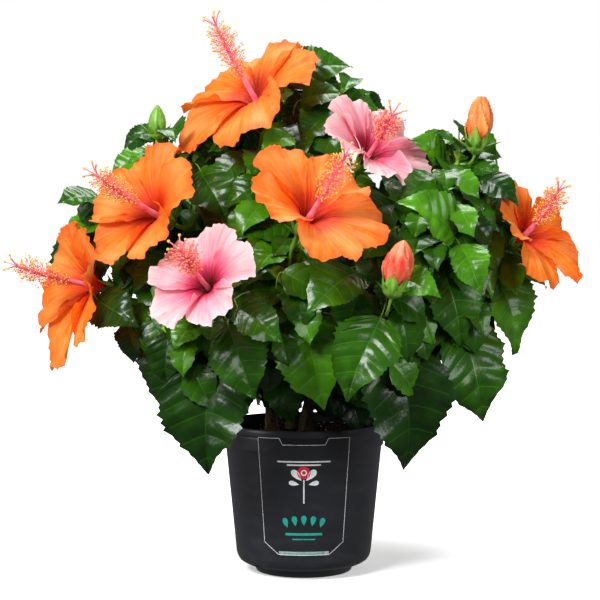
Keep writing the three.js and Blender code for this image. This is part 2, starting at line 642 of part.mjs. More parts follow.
// One mass of foliage: the shoot, its twigs and its leaves. A twig or leaf that would leave the space of the
// mass, or touch another solid, is turned and then skipped.
function makeMass(name, mass, number) {
  const dice = new Dice(number + 3);
  const limb = limbs[`shoot_${name}`];
  const carrier = limbs[`bough_${name}`];
  const others = placed.filter((piece) => piece.name !== `shoot_${name}`);
  const centre = vec(mass.shoot).lerp(vec(mass.bough), 0.35).addScaledVector(UP, -0.12 * mass.droop);
  const parts = [limb.solid];
  const blades = [];
  const stalks = [];
  const branches = [limb.curve];
  for (const curve of makeTwigs(mass, limb, dice)) {
    const radiusAt = (t) => mix(TWIG.footRadius, TWIG.tipRadius, t);
    if (!meets(tube(curve, radiusAt, TWIG.sides, TWIG.steps, CLEAR), others)) {
      branches.push(curve);
      parts.push(tube(curve, radiusAt, TWIG.sides, TWIG.steps));
    }
  }
  const takeFirst = (choices, strict) => choices.some((leaf) => {
    const whole = makeLeaf(leaf, CLEAR);
    const blade = makeLeaf(leaf, CLEAR, false);
    if (meets(whole, others) || (strict && (meets(whole, blades) || meets(blade, stalks)))) return false;
    blades.push({ solid: blade, box: blade.boundingBox() });
    stalks.push({ solid: whole, box: whole.boundingBox() });
    parts.push(makeLeaf(leaf));
    return true;
  });
  for (const lead of mass.leads) {
    takeFirst(leadChoices(limb, lead), false);
  }
  for (let count = 0; count < mass.leaves; count += 1) {
    const branch = branches[count % branches.length];
    const order = Math.floor(count / branches.length);
    const last = Math.floor((mass.leaves - 1) / branches.length);
    const at = mix(0.95, 0.4, last ? order / last : 0);
    const turn = count * GOLDEN + dice.between(-0.3, 0.3);
    const size = mass.leaf * mix(0.62, 1, Math.min(1, 1.6 * (1 - at))) * dice.between(0.88, 1.08);
    const droop = mass.droop * dice.between(0.6, 1.1);
    const choices = leafChoices(mass, branch, at, turn, size, droop)
      .filter((leaf) => insideSpace(leaf.tip, centre, mass.space));
    takeFirst(choices, true);
  }
  return wasm.Manifold.union(parts).subtract(carrier.clear);
}

// ---- the whole plant ----
const plant = new THREE.Group();

function add(name, solid, look) {
  place(name, solid);
  plant.add(toMesh(solid, name, look));
}

add('pot', makePot(), PLASTIC);
add('potting_mix', makeMix(), MIX);

for (const [name, stem] of Object.entries(STEMS)) {
  limbs[name] = makeStem(stem);
  add(name, limbs[name].solid, BARK);
}
for (const [name, mass] of Object.entries(MASSES)) {
  const limb = makeBough(mass);
  for (const earlier of Object.values(limbs)) {
    limb.solid = limb.solid.subtract(earlier.clear);
  }
  limb.solid = largest(limb.solid);
  limbs[`bough_${name}`] = limb;
  add(`bough_${name}`, limb.solid, BARK);
}
for (const [name, mass] of Object.entries(MASSES)) {
  const limb = makeShoot(name, mass);
  limb.solid = largest(limb.solid.subtract(limbs[`bough_${name}`].clear));
  limbs[`shoot_${name}`] = limb;
  place(`shoot_${name}`, limb.solid);
}
for (const [name, bloom] of Object.entries(BLOOMS)) {
  add(name, makeBloom(bloom), bloom.kind === ORANGE ? ORANGE_PETAL : PINK_PETAL);
}
for (const [name, bud] of Object.entries(BUDS)) {
  add(name, makeBud(bud), bud.radius > 10 ? RED_BUD : GREEN_BUD);
}
Object.entries(MASSES).forEach(([name, mass], number) => {
  add(`foliage_${name}`, makeMass(name, mass, number), FOLIAGE);
});

export default plant;
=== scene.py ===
"""Looks of a potted hibiscus shrub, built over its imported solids.

Lengths are in millimetres until a mesh is made. The origin is the centre of the pot's flat
underside, +Z is up and the pot's printed panel faces -Y.
"""

from __future__ import annotations

import logging
import math
from collections.abc import Callable, Sequence
from dataclasses import dataclass, field
from enum import Enum, IntEnum
from itertools import combinations

import bpy
import numpy as np
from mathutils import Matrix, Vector
from mathutils.bvhtree import BVHTree
from mathutils.kdtree import KDTree


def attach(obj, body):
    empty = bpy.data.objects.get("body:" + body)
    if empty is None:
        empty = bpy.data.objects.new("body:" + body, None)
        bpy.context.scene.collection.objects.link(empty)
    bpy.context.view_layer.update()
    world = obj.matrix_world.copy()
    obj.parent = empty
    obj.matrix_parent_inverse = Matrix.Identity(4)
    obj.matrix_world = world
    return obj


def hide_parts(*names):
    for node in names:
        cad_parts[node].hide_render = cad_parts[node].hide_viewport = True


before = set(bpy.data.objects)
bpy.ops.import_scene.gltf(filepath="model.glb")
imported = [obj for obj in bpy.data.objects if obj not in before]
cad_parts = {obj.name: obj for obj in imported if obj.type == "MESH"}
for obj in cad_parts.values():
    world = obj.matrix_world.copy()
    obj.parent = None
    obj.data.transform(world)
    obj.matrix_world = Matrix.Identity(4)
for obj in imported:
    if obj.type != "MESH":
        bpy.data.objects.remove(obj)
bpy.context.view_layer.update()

LOG = logging.getLogger("shrub")
Array = np.ndarray
Triple = tuple[float, float, float]
Socket = bpy.types.NodeSocket
Sockets = dict[str | int, object]
MM = 0.001
UP = np.array([0.0, 0.0, 1.0])
SIDEWAYS = np.array([1.0, 0.0, 0.0])
GOLDEN = math.pi * (3 - math.sqrt(5))
TURN = 2 * math.pi
SOIL_LEVEL = 150.0
WHITE = (1, 1, 1, 1)
VEIN_LOOK = 4  # a vein's finish stands this many places after its leaf's
CLEAR = 0.3  # gap between a stem's foot and the mix


# ---- small tools ----
def mix(first: float | Array, second: float | Array, share: float | Array) -> float | Array:
    """Value that lies a share of the way from the first to the second."""
    return first + (second - first) * share


def smooth(low: float, high: float, value: float | Array) -> float | Array:
    """Smooth step from 0 at low to 1 at high."""
    share = np.clip((value - low) / (high - low), 0, 1)
    return share * share * (3 - 2 * share)


def unit(vector: Array) -> Array:
    """Vector, or vectors along the last axis, at unit length."""
    return vector / np.linalg.norm(vector, axis=-1, keepdims=True)


def square(vector: Array, axis: Array) -> Array:
    """Part of a vector that stands square to a unit axis, at unit length."""
    return unit(vector - axis * np.dot(vector, axis))


def upright(axis: Array) -> Array:
    """Direction square to a unit axis and, where that can be, upward."""
    return square(UP if abs(axis[2]) < 0.95 else SIDEWAYS, axis)


def spread(steps: int) -> Array:
    """Even shares from 0 to 1, one more than the steps."""
    return np.linspace(0, 1, steps + 1)


class Dice:
    """Repeatable numbers, drawn in the same order as for the solids."""

    def __init__(self, seed: int) -> None:
        """Starts the run of numbers from a seed."""
        self.state = seed * 7919 + 104729

    def between(self, low: float, high: float) -> float:
        """Next number between low and high."""
        self.state = self.state * 16807 % 2147483647
        return low + (high - low) * self.state / 2147483647

    def many(self, low: float, high: float, count: int) -> Array:
        """Several next numbers as an array."""
        return np.array([self.between(low, high) for _ in range(count)])


class Arc:
    """A curve with one bend, walked by its length."""

    TABLE = 200

    def __init__(self, start: Array, middle: Array, end: Array) -> None:
        """Keeps the three control points and measures the curve.

        Args:
            start: First point.
            middle: Point that the curve bends towards.
            end: Last point.
        """
        self.start, self.middle, self.end = start, middle, end
        self.times = spread(self.TABLE)
        gaps = np.linalg.norm(np.diff(self.point(self.times), axis=0), axis=1)
        self.walked = np.concatenate([[0], np.cumsum(gaps)])
        self.length = float(self.walked[-1])

    def point(self, time: float | Array) -> Array:
        """Point, or points, at a curve parameter."""
        time = np.asarray(time)[..., None]
        return (1 - time) ** 2 * self.start + 2 * time * (1 - time) * self.middle + time**2 * self.end

    def at(self, share: float | Array) -> Array:
        """Point, or points, at a share of the length."""
        return self.point(np.interp(np.asarray(share) * self.length, self.walked, self.times))

    def heading(self, share: float) -> Array:
        """Unit direction of the curve at a share of its length."""
        time = float(np.interp(share * self.length, self.walked, self.times))
        return unit((1 - time) * (self.middle - self.start) + time * (self.end - self.middle))


def line_arc(start: Array, end: Array) -> Arc:
    """Straight curve between two points."""
    return Arc(start, (start + end) / 2, end)


def net(rows: int, columns: int, closed: bool = False) -> Array:
    """Four-cornered faces between rows of points.

    Args:
        rows: Rows of points.
        columns: Points in a row.
        closed: Whether the last column joins the first.

    Returns:
        Corner numbers, one face a row.
    """
    across = columns if closed else columns - 1
    row, column = np.meshgrid(np.arange(rows - 1), np.arange(across), indexing="ij")
    after = (column + 1) % columns
    start = row * columns
    corners = [start + column, start + after, start + columns + after, start + columns + column]
    return np.stack(corners, axis=-1).reshape(-1, 4)


def fan(count: int) -> Array:
    """Three-cornered faces from a ring of points to the point after its last."""
    corners = np.arange(count)
    return np.stack([corners, (corners + 1) % count, np.full(count, count)], axis=1)


def show(name: str, data: bpy.types.ID) -> bpy.types.Object:
    """Puts a mesh, light or camera into the scene.

    Args:
        name: Name of the object.
        data: What it shows.

    Returns:
        The object.
    """
    thing = bpy.data.objects.new(name, data)
    bpy.context.scene.collection.objects.link(thing)
    return thing


class Pile:
    """Points and faces of one piece while it is gathered."""

    def __init__(self) -> None:
        """Starts with nothing in it."""
        self.points: list[Array] = []
        self.places: list[Array] = []
        self.faces: list[Array] = []
        self.looks: list[Array] = []
        self.charts: list[Array] = []
        self.count = 0

    def add(
        self,
        points: Array,
        faces: Array,
        look: int | Array = 0,
        place: Array | None = None,
        chart: Array | None = None,
    ) -> None:
        """Takes in points and the faces between them.

        Args:
            points: Corner points.
            faces: Corner numbers, one face a row.
            look: Finish number, one for all faces or one for each.
            place: Where each point lies on its leaf, petal or limb.
            chart: Flat place of each point, for pieces that are painted by place.
        """
        points = np.reshape(points, (-1, 3))
        faces = np.asarray(faces, int)
        self.points.append(points)
        self.places.append(np.zeros_like(points) if place is None else np.reshape(place, (-1, 3)))
        self.charts.append(np.zeros((len(points), 2)) if chart is None else np.reshape(chart, (-1, 2)))
        self.faces.append(faces + self.count)
        self.looks.append(np.broadcast_to(look, len(faces)))
        self.count += len(points)

    def tube(
        self,
        line: Array,
        radii: float | Array,
        sides: int,
        look: int = 0,
        side: Array | None = None,
        flat: float = 1.0,
    ) -> None:
        """Adds a closed tube along a line of points.

        Args:
            line: Points of the centre line.
            radii: Radius, one for all, one for each point or one for each corner.
            sides: Corners round the tube.
            look: Finish number.
            side: Direction that counts as the first side.
            flat: Thickness along the first side, against the radius.
        """
        line = np.asarray(line, float)
        rows = len(line)
        onward = unit(np.gradient(line, axis=0))
        radii = np.broadcast_to(np.reshape(radii, (-1, 1)) if np.ndim(radii) < 2 else radii, (rows, sides))
        side = SIDEWAYS + 0.31 * UP if side is None else side
        if abs(np.dot(unit(side), onward[0])) > 0.97:
            side = np.array([0.1, 1.0, 0.2])
        firsts = []
        for tangent in onward:
            side = square(side, tangent)
            firsts.append(side)
        firsts = np.array(firsts)
        seconds = np.cross(onward, firsts)
        angles = TURN * np.arange(sides) / sides
        ring = flat * np.cos(angles)[:, None] * firsts[:, None] + np.sin(angles)[:, None] * seconds[:, None]
        points = line[:, None] + ring * radii[..., None]
        along = np.broadcast_to(spread(rows - 1)[:, None], (rows, sides))
        place = np.stack([along, np.broadcast_to(angles / TURN, (rows, sides)), along * 0], axis=-1)
        self.add(points, net(rows, sides, closed=True), look, place)
        for row in (0, rows - 1):
            spot = np.concatenate([points[row], line[row : row + 1]])
            tint = np.concatenate([place[row], place[row, :1]])
            self.add(spot, fan(sides) if row else fan(sides)[:, ::-1], look, tint)

    def build(
        self, name: str, finishes: Sequence[Finish], slot: str, nodes: Sequence[str], crease: float = 50.0
    ) -> None:
        """Makes the piece and ties it to the solids that it stands for.

        Args:
            name: Name of the piece.
            finishes: Its finishes, by number.
            slot: The record's material slot; not used.
            nodes: Solids that the piece replaces.
            crease: Angle past which an edge stays sharp (degrees).
        """
        mesh = bpy.data.meshes.new(name)
        points = np.concatenate(self.points) * MM
        corners = np.concatenate([faces.ravel() for faces in self.faces])
        sizes = np.concatenate([np.full(len(faces), faces.shape[1]) for faces in self.faces])
        mesh.vertices.add(len(points))
        mesh.vertices.foreach_set("co", points.astype(np.float32).ravel())
        mesh.loops.add(len(corners))
        mesh.loops.foreach_set("vertex_index", corners.astype(np.int32))
        mesh.polygons.add(len(sizes))
        mesh.polygons.foreach_set("loop_start", (np.cumsum(sizes) - sizes).astype(np.int32))
        mesh.polygons.foreach_set("material_index", np.concatenate(self.looks).astype(np.int32))
        mesh.update(calc_edges=True)
        places = mesh.attributes.new("place", "FLOAT_VECTOR", "POINT")
        places.data.foreach_set("vector", np.concatenate(self.places).astype(np.float32).ravel())
        charts = np.concatenate(self.charts)
        if charts.any():
            layer = mesh.uv_layers.new(name="OFBake")
            layer.data.foreach_set("uv", charts[corners].astype(np.float32).ravel())
        for finish in finishes:
            mesh.materials.append(finish.material())
        mesh.shade_smooth()
        mesh.set_sharp_from_angle(angle=math.radians(crease))
        piece = show(name, mesh)
        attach(piece, "root")
        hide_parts(*nodes)
        LOG.info("%s: %d triangles", name, int((sizes - 2).sum()))


# ---- finishes ----
def tone(code: str) -> tuple[float, float, float, float]:
    """Linear colour from a six-digit code."""
    parts = [int(code[place : place + 2], 16) / 255 for place in (1, 3, 5)]
    return tuple(c / 12.92 if c <= 0.04045 else ((c + 0.055) / 1.055) ** 2.4 for c in parts) + (1.0,)


class Graph:
    """Nodes of one material while it is put together."""

    def __init__(self, name: str) -> None:
        """Starts a material with its shader.

        Args:
            name: Name of the material.
        """
        self.made = bpy.data.materials.new(name)
        self.made.use_nodes = True
        self.tree = self.made.node_tree
        self.shader = self.tree.nodes["Principled BSDF"]

    def add(self, kind: str, sockets: Sockets | None = None, **settings: object) -> bpy.types.Node:
        """Adds a node.

        Args:
            kind: Blender's name for the node, without its first word.
            sockets: Values, or sockets to link from, by name or number.
            settings: The node's own settings.

        Returns:
            The node.
        """
        node = self.tree.nodes.new("ShaderNode" + kind)
        for key, value in settings.items():
            setattr(node, key, value)
        self.fill(node, sockets or {})
        return node

    def fill(self, node: bpy.types.Node, sockets: Sockets) -> None:
        """Sets or links a node's inputs.

        Args:
            node: The node.
            sockets: Values, or sockets to link from, by name or number.
        """
        for key, value in sockets.items():
            if isinstance(value, Socket):
                self.tree.links.new(value, node.inputs[key])
            else:
                node.inputs[key].default_value = value

    def spots(self, stretch: Triple = (1, 1, 1), by_place: bool = False) -> Socket:
        """Coordinates for a pattern.

        Args:
            stretch: Scale along each axis.
            by_place: Whether they follow the leaf, petal or limb and not the space round it.

        Returns:
            Vector socket.
        """
        if by_place:
            source = self.add("Attribute", attribute_name="place").outputs["Vector"]
        else:
            source = self.add("TexCoord").outputs["Object"]
        return self.add("Mapping", {"Vector": source, "Scale": stretch}).outputs["Vector"]

    def noise(self, scale: float, detail: float = 3, spots: Socket | None = None) -> Socket:
        """Soft noise, as a value."""
        vector = self.spots() if spots is None else spots
        return self.add("TexNoise", {"Vector": vector, "Scale": scale, "Detail": detail}).outputs["Fac"]

    def cells(self, scale: float, feature: str = "F1", spots: Socket | None = None) -> Socket:
        """Distance to the nearest cell, as a value."""
        vector = self.spots() if spots is None else spots
        return self.add("TexVoronoi", {"Vector": vector, "Scale": scale}, feature=feature).outputs["Distance"]

    def sum(self, first: object, second: object, kind: str = "ADD") -> Socket:
        """Sum, or another operation, of two values."""
        return self.add("Math", {0: first, 1: second}, operation=kind).outputs[0]

    def ramp(self, value: Socket, stops: Sequence[tuple[float, str]]) -> Socket:
        """Colour that runs through stops.

        Args:
            value: What drives it.
            stops: Place and colour of each stop, in order.

        Returns:
            Colour socket.
        """
        node = self.add("ValToRGB", {"Fac": value})
        points = node.color_ramp.elements
        while len(points) < len(stops):
            points.new(0.5)
        for point, (place, colour) in zip(points, stops):
            point.position = place
            point.color = tone(colour)
        return node.outputs["Color"]

    def range(self, value: Socket, low: float, high: float) -> Socket:
        """Value that runs from 0 at low to 1 at high."""
        return self.add("MapRange", {"Value": value, "From Min": low, "From Max": high}).outputs["Result"]

    def blend(self, share: object, first: object, second: object) -> Socket:
        """Mix of two colours."""
        return self.add("Mix", {0: share, 6: first, 7: second}, data_type="RGBA").outputs[2]

    def bump(self, height: Socket, depth: float, strength: float = 1.0) -> None:
        """Gives the surface a fine relief, as deep as stated in millimetres."""
        node = self.add("Bump", {"Height": height, "Distance": depth * MM, "Strength": strength})
        self.tree.links.new(node.outputs["Normal"], self.shader.inputs["Normal"])

    def finish(self, sockets: Sockets) -> bpy.types.Material:
        """Sets the shader's inputs and hands over the material."""
        self.fill(self.shader, sockets)
        return self.made


@dataclass(frozen=True)
class Finish:
    """A finish, made once and shared by its pieces."""

    name: str

    def material(self) -> bpy.types.Material:
        """The material, made the first time that it is asked for."""
        return bpy.data.materials.get(self.name) or self.make(Graph(self.name))

    def make(self, graph: Graph) -> bpy.types.Material:
        """Puts the material together."""
        raise NotImplementedError


@dataclass(frozen=True)
class LeafFinish(Finish):
    """Glossy upper face of a leaf, with a duller and paler back."""

    deep: str
    light: str
    back: str
    roughness: float = 0.3

    def make(self, graph: Graph) -> bpy.types.Material:
        """Puts the material together.

        Args:
            graph: The material's nodes.

        Returns:
            The material.
        """
        patch = graph.range(graph.noise(45, 4), 0.3, 0.7)
        front = graph.blend(patch, tone(self.deep), tone(self.light))
        behind = graph.add("NewGeometry").outputs["Backfacing"]
        colour = graph.blend(behind, front, tone(self.back))
        relief = graph.sum(graph.sum(graph.cells(280), 0.32, "MULTIPLY"), graph.noise(85, 2))
        graph.bump(relief, 0.55, 0.65)
        sockets = {"Base Color": colour, "Roughness": self.roughness, "Specular IOR Level": 0.28}
        return graph.finish(sockets | {"Coat Weight": 0.04, "Coat Roughness": 0.15})


@dataclass(frozen=True)
class PetalFinish(Finish):
    """Petal coloured from its throat to its margin, with fine radial veins, peach patches that are partly its
    own colour and partly painted sheen, and darker vein zones that are partly veins and partly painted shade
    in its folds.
    """

    stops: tuple[tuple[float, str], ...]
    vein_and_fold_shade: str
    peach_and_sheen: str
    streaks: float = 0.45

    def make(self, graph: Graph) -> bpy.types.Material:
        """Puts the material together.

        Args:
            graph: The material's nodes.

        Returns:
            The material.
        """
        split = graph.add("SeparateXYZ", {0: graph.spots(by_place=True)}).outputs
        veins = graph.noise(1.0, 3, graph.spots((1.6, 8.0, 0.5), by_place=True))
        fine = graph.noise(1.0, 2, graph.spots((2.5, 30.0, 0.5), by_place=True))
        shift = graph.sum(graph.sum(veins, 0.5, "SUBTRACT"), 0.3, "MULTIPLY")
        colour = graph.ramp(graph.sum(split[0], shift), self.stops)
        lines = graph.sum(graph.range(fine, 0.48, 0.68), self.streaks, "MULTIPLY")
        # Darker zones along the broad vein pattern: partly veins, partly painted shade in the petal's folds.
        lines = graph.sum(lines, graph.sum(graph.range(veins, 0.54, 0.72), 0.3, "MULTIPLY"))
        colour = graph.blend(lines, colour, tone(self.vein_and_fold_shade))
        # Peach patches towards the margin: partly the petal's own colour, partly painted sheen.
        peach_sheen_patches = graph.range(graph.noise(26, 3), 0.42, 0.7)
        peach_and_sheen_mask = graph.sum(peach_sheen_patches, graph.range(split[0], 0.4, 0.75), "MULTIPLY")
        colour = graph.blend(graph.sum(peach_and_sheen_mask, 0.75, "MULTIPLY"), colour, tone(self.peach_and_sheen))
        rim = graph.sum(graph.range(split[2], 0.9, 1.0), 0.5, "MULTIPLY")
        colour = graph.blend(rim, colour, tone(self.stops[-1][1]))
        graph.bump(graph.sum(graph.sum(veins, fine), graph.noise(220, 3)), 0.8, 0.7)
        glow = graph.add("BsdfTranslucent", {"Color": colour})
        graph.finish({"Base Color": colour, "Roughness": 0.55, "Specular IOR Level": 0.3})
        both = graph.add("MixShader", {0: 0.28, 1: graph.shader.outputs[0], 2: glow.outputs[0]})
        graph.tree.links.new(both.outputs[0], graph.tree.nodes["Material Output"].inputs["Surface"])
        return graph.made


@dataclass(frozen=True)
class FleshFinish(Finish):
    """Soft matt plant flesh: calyx, bud, filaments, anthers."""

    dark: str
    light: str
    scale: float = 120
    roughness: float = 0.5
    grooves: float = 0.0

    def make(self, graph: Graph) -> bpy.types.Material:
        """Puts the material together.

        Args:
            graph: The material's nodes.

        Returns:
            The material.
        """
        patch = graph.range(graph.noise(self.scale, 3), 0.32, 0.68)
        if self.grooves:
            lines = graph.noise(1.0, 2, graph.spots((1.5, self.grooves, 1.0), by_place=True))
            patch = graph.range(lines, 0.35, 0.65)
        graph.bump(patch, 0.25, 0.6)
        colour = graph.blend(patch, tone(self.dark), tone(self.light))
        return graph.finish({"Base Color": colour, "Roughness": self.roughness, "Specular IOR Level": 0.35})


@dataclass(frozen=True)
class BarkFinish(Finish):
    """Woody bark with pale pores and long streaks."""

    dark: str
    light: str
    pore: str

    def make(self, graph: Graph) -> bpy.types.Material:
        """Puts the material together.

        Args:
            graph: The material's nodes.

        Returns:
            The material.
        """
        streaks = graph.noise(1.0, 5, graph.spots((260, 260, 60)))
        colour = graph.blend(graph.range(streaks, 0.32, 0.68), tone(self.dark), tone(self.light))
        pores = graph.range(graph.cells(420), 0.2, 0.08)
        colour = graph.blend(graph.sum(pores, 0.7, "MULTIPLY"), colour, tone(self.pore))
        graph.bump(graph.sum(streaks, graph.cells(420)), 0.5, 0.8)
        return graph.finish({"Base Color": colour, "Roughness": 0.72, "Specular IOR Level": 0.3})


@dataclass(frozen=True)
class GritFinish(Finish):
    """Damp potting mix, crumb or white mineral grain."""

    dark: str
    light: str
    scale: float
    roughness: float = 0.9

    def make(self, graph: Graph) -> bpy.types.Material:
        """Puts the material together.

        Args:
            graph: The material's nodes.

        Returns:
            The material.
        """
        grains = graph.noise(self.scale, 6)
        colour = graph.blend(graph.range(grains, 0.35, 0.7), tone(self.dark), tone(self.light))
        graph.bump(graph.sum(grains, graph.cells(self.scale * 1.5)), 1.2)
        return graph.finish({"Base Color": colour, "Roughness": self.roughness, "Specular IOR Level": 0.25})


@dataclass(frozen=True)
class PlasticFinish(Finish):
    """Moulded pot plastic with a fine satin grain, scuffs and dust."""

    base: str
    scuff: str
    roughness: float
    grain: float

    def make(self, graph: Graph) -> bpy.types.Material:
        """Puts the material together.

        Args:
            graph: The material's nodes.

        Returns:
            The material.
        """
        rubbed = graph.noise(1.0, 5, graph.spots((35, 35, 90)))
        wear = graph.sum(graph.range(rubbed, 0.5, 0.8), 0.5, "MULTIPLY")
        colour = graph.blend(wear, tone(self.base), tone(self.scuff))
        span = {"Value": rubbed, "To Min": self.roughness - 0.05, "To Max": self.roughness + 0.12}
        rough = graph.add("MapRange", span)
        graph.bump(graph.sum(graph.noise(1500, 2), graph.noise(90, 2)), self.grain, 0.6)
        sockets = {"Base Color": colour, "Roughness": rough.outputs["Result"], "Specular IOR Level": 0.5}
        return graph.finish(sockets)


@dataclass(frozen=True)
class PrintFinish(Finish):
    """Printed ink on the pot's panel, a little worn."""

    ink: str
    worn: str
    metallic: float = 0.0

    def make(self, graph: Graph) -> bpy.types.Material:
        """Puts the material together.

        Args:
            graph: The material's nodes.

        Returns:
            The material.
        """
        wear = graph.range(graph.noise(260, 4), 0.45, 0.85)
        colour = graph.blend(wear, tone(self.ink), tone(self.worn))
        graph.bump(graph.noise(900, 2), 0.02)
        return graph.finish({"Base Color": colour, "Roughness": 0.35, "Metallic": self.metallic})


class Tint(IntEnum):
    """Greens of a leaf from deep to young, as places in the leaf finishes; the deeper greens also stand for
    painted shade low in and behind the crown.
    """

    DEEP = 0
    MID = 1
    FRESH = 2
    YOUNG = 3


LEAF_FINISHES = (
    LeafFinish("leaf_deep", "#0c2602", "#1a4003", "#38561e", 0.27),
    LeafFinish("leaf_mid", "#193f02", "#2e6007", "#466826", 0.27),
    LeafFinish("leaf_fresh", "#2e6203", "#4c8c0a", "#608c2a", 0.28),
    LeafFinish("leaf_young", "#5c980a", "#88b81a", "#8cb43a", 0.32),
    LeafFinish("leaf_vein_deep", "#183c07", "#28520f", "#50743a", 0.28),
    LeafFinish("leaf_vein_mid", "#27580e", "#3c741a", "#628a44", 0.29),
    LeafFinish("leaf_vein_fresh", "#3f7a16", "#5a962c", "#7fa654", 0.3),
    LeafFinish("leaf_vein_young", "#689e2c", "#88b848", "#9bbf66", 0.34),
)

ORANGE_PETAL = PetalFinish(
    "petal_orange",
    (
        (0.0, "#8e0a06"), (0.24, "#c41a08"), (0.38, "#ea440c"),
        (0.54, "#fa7616"), (0.78, "#fc8520"), (1.0, "#f2660c"),
    ),
    # Vein colour, also painted shade in the folds; then peach colour, also painted sheen.
    "#e8500c",
    "#ffaa5c",
    0.6,
)
PINK_PETAL = PetalFinish(
    "petal_pink",
    (
        (0.0, "#6c0016"), (0.24, "#a80430"), (0.38, "#de3664"),
        (0.53, "#f2869e"), (0.74, "#f9b0ba"), (1.0, "#fcd2d4"),
    ),
    # Vein colour, also painted shade in the folds; then peach colour, also painted sheen.
    "#e25a82",
    "#fddfdf",
)
ORANGE_COLUMN = FleshFinish("column_orange", "#f2607c", "#ff9cae", 90, 0.45)
PINK_COLUMN = FleshFinish("column_pink", "#ea5874", "#fb93a8", 90, 0.45)
ANTHER = FleshFinish("anther", "#ffa436", "#ffd874", 900, 0.8)
ROSE_ANTHER = FleshFinish("anther_rose", "#f6785a", "#ffb284", 900, 0.8)
STIGMA = FleshFinish("stigma", "#f7a03c", "#ffd27a", 400, 0.7)
CALYX_FLESH = FleshFinish("calyx", "#47781a", "#78a838", 120, 0.45, 14)
BRACT_FLESH = FleshFinish("bract", "#3d6e18", "#6a9c30", 120, 0.45)
GREEN_BUD = FleshFinish("bud_green", "#4c8420", "#86b440", 100, 0.42, 16)
# The red buds' dark and light grooves are partly the petals' own streaks, partly painted shade in the folds
# and painted sheen on the edges.
CORAL_BUD = FleshFinish("bud_coral", "#d42a20", "#ff9468", 90, 0.42, 7)
ORANGE_BUD = FleshFinish("bud_orange", "#e4500f", "#ffa458", 90, 0.45, 7)
OLD_BARK = BarkFinish("bark_old", "#41331f", "#7c6a48", "#a89a78")
GREEN_BARK = BarkFinish("bark_green", "#46491c", "#7f8440", "#b0aa78")
TWIG_BARK = FleshFinish("twig_bark", "#4a6420", "#7a8c3c", 240, 0.5)
PETIOLE_SKIN = FleshFinish("petiole_skin", "#567a26", "#80a040", 200, 0.45)


# ---- plans, as the solids state them ----
@dataclass(frozen=True)
class BloomKind:
    """Sizes that all blooms of one sort share."""

    petal: float
    funnel: float
    ruffle: float
    column: float
    column_radius: float
    brush: float
    brush_foot: float
    receptacle: float
    calyx: float
    filaments: int
    petal_finish: PetalFinish
    column_finish: FleshFinish
    anther_finish: FleshFinish
    slot: str


class Kind(Enum):
    """The two sorts of bloom on the plant."""

    ORANGE = BloomKind(
        petal=104, funnel=15, ruffle=4, column=118, column_radius=2.3, brush=6.7, brush_foot=0.42,
        receptacle=20, calyx=8.5, filaments=240, petal_finish=ORANGE_PETAL, column_finish=ORANGE_COLUMN,
        anther_finish=ANTHER, slot="orange_petal",
    )
    PINK = BloomKind(
        petal=80, funnel=15, ruffle=4, column=80, column_radius=1.9, brush=7.4, brush_foot=0.54,
        receptacle=18, calyx=7.5, filaments=230, petal_finish=PINK_PETAL, column_finish=PINK_COLUMN,
        anther_finish=ROSE_ANTHER, slot="pink_petal",
    )


class Stage(Enum):
    """How far a bud has come."""

    GREEN = "green"
    FURLED = "furled"
    OPENING = "opening"


@dataclass(frozen=True)
class StemPlan:
    """A stem's foot in the mix and its tip."""

    foot: tuple[float, float]
    tip: Triple


@dataclass(frozen=True)
class MassPlan:
    """A mass of foliage and the bough that carries it."""

    stem: str
    at: float
    bough: Triple
    shoot: Triple
    space: Triple
    leaf: float
    droop: float
    leaves: int
    leads: tuple[tuple[float, ...], ...]


@dataclass(frozen=True)
class BloomPlan:
    """An open bloom: its sort, its place on a shoot, its throat and the way it faces."""

    kind: Kind
    on: str
    at: float
    throat: Triple
    face: Triple
    turn: float
    opening: float
    hang: float
    size: float
    column: float
    rise: float = 5


@dataclass(frozen=True)
class BudPlan:
    """A closed bud: its place on a shoot, its foot, its tip and its greatest radius."""

    on: str
    at: float
    foot: Triple
    tip: Triple
    radius: float
    stage: Stage


STEMS = {
    "stem_left": StemPlan(foot=(-34, -12), tip=(-60, -15, 250)),
    "stem_right": StemPlan(foot=(2, -6), tip=(52, -20, 255)),
    "stem_back": StemPlan(foot=(-12, 22), tip=(0, 55, 262)),
}

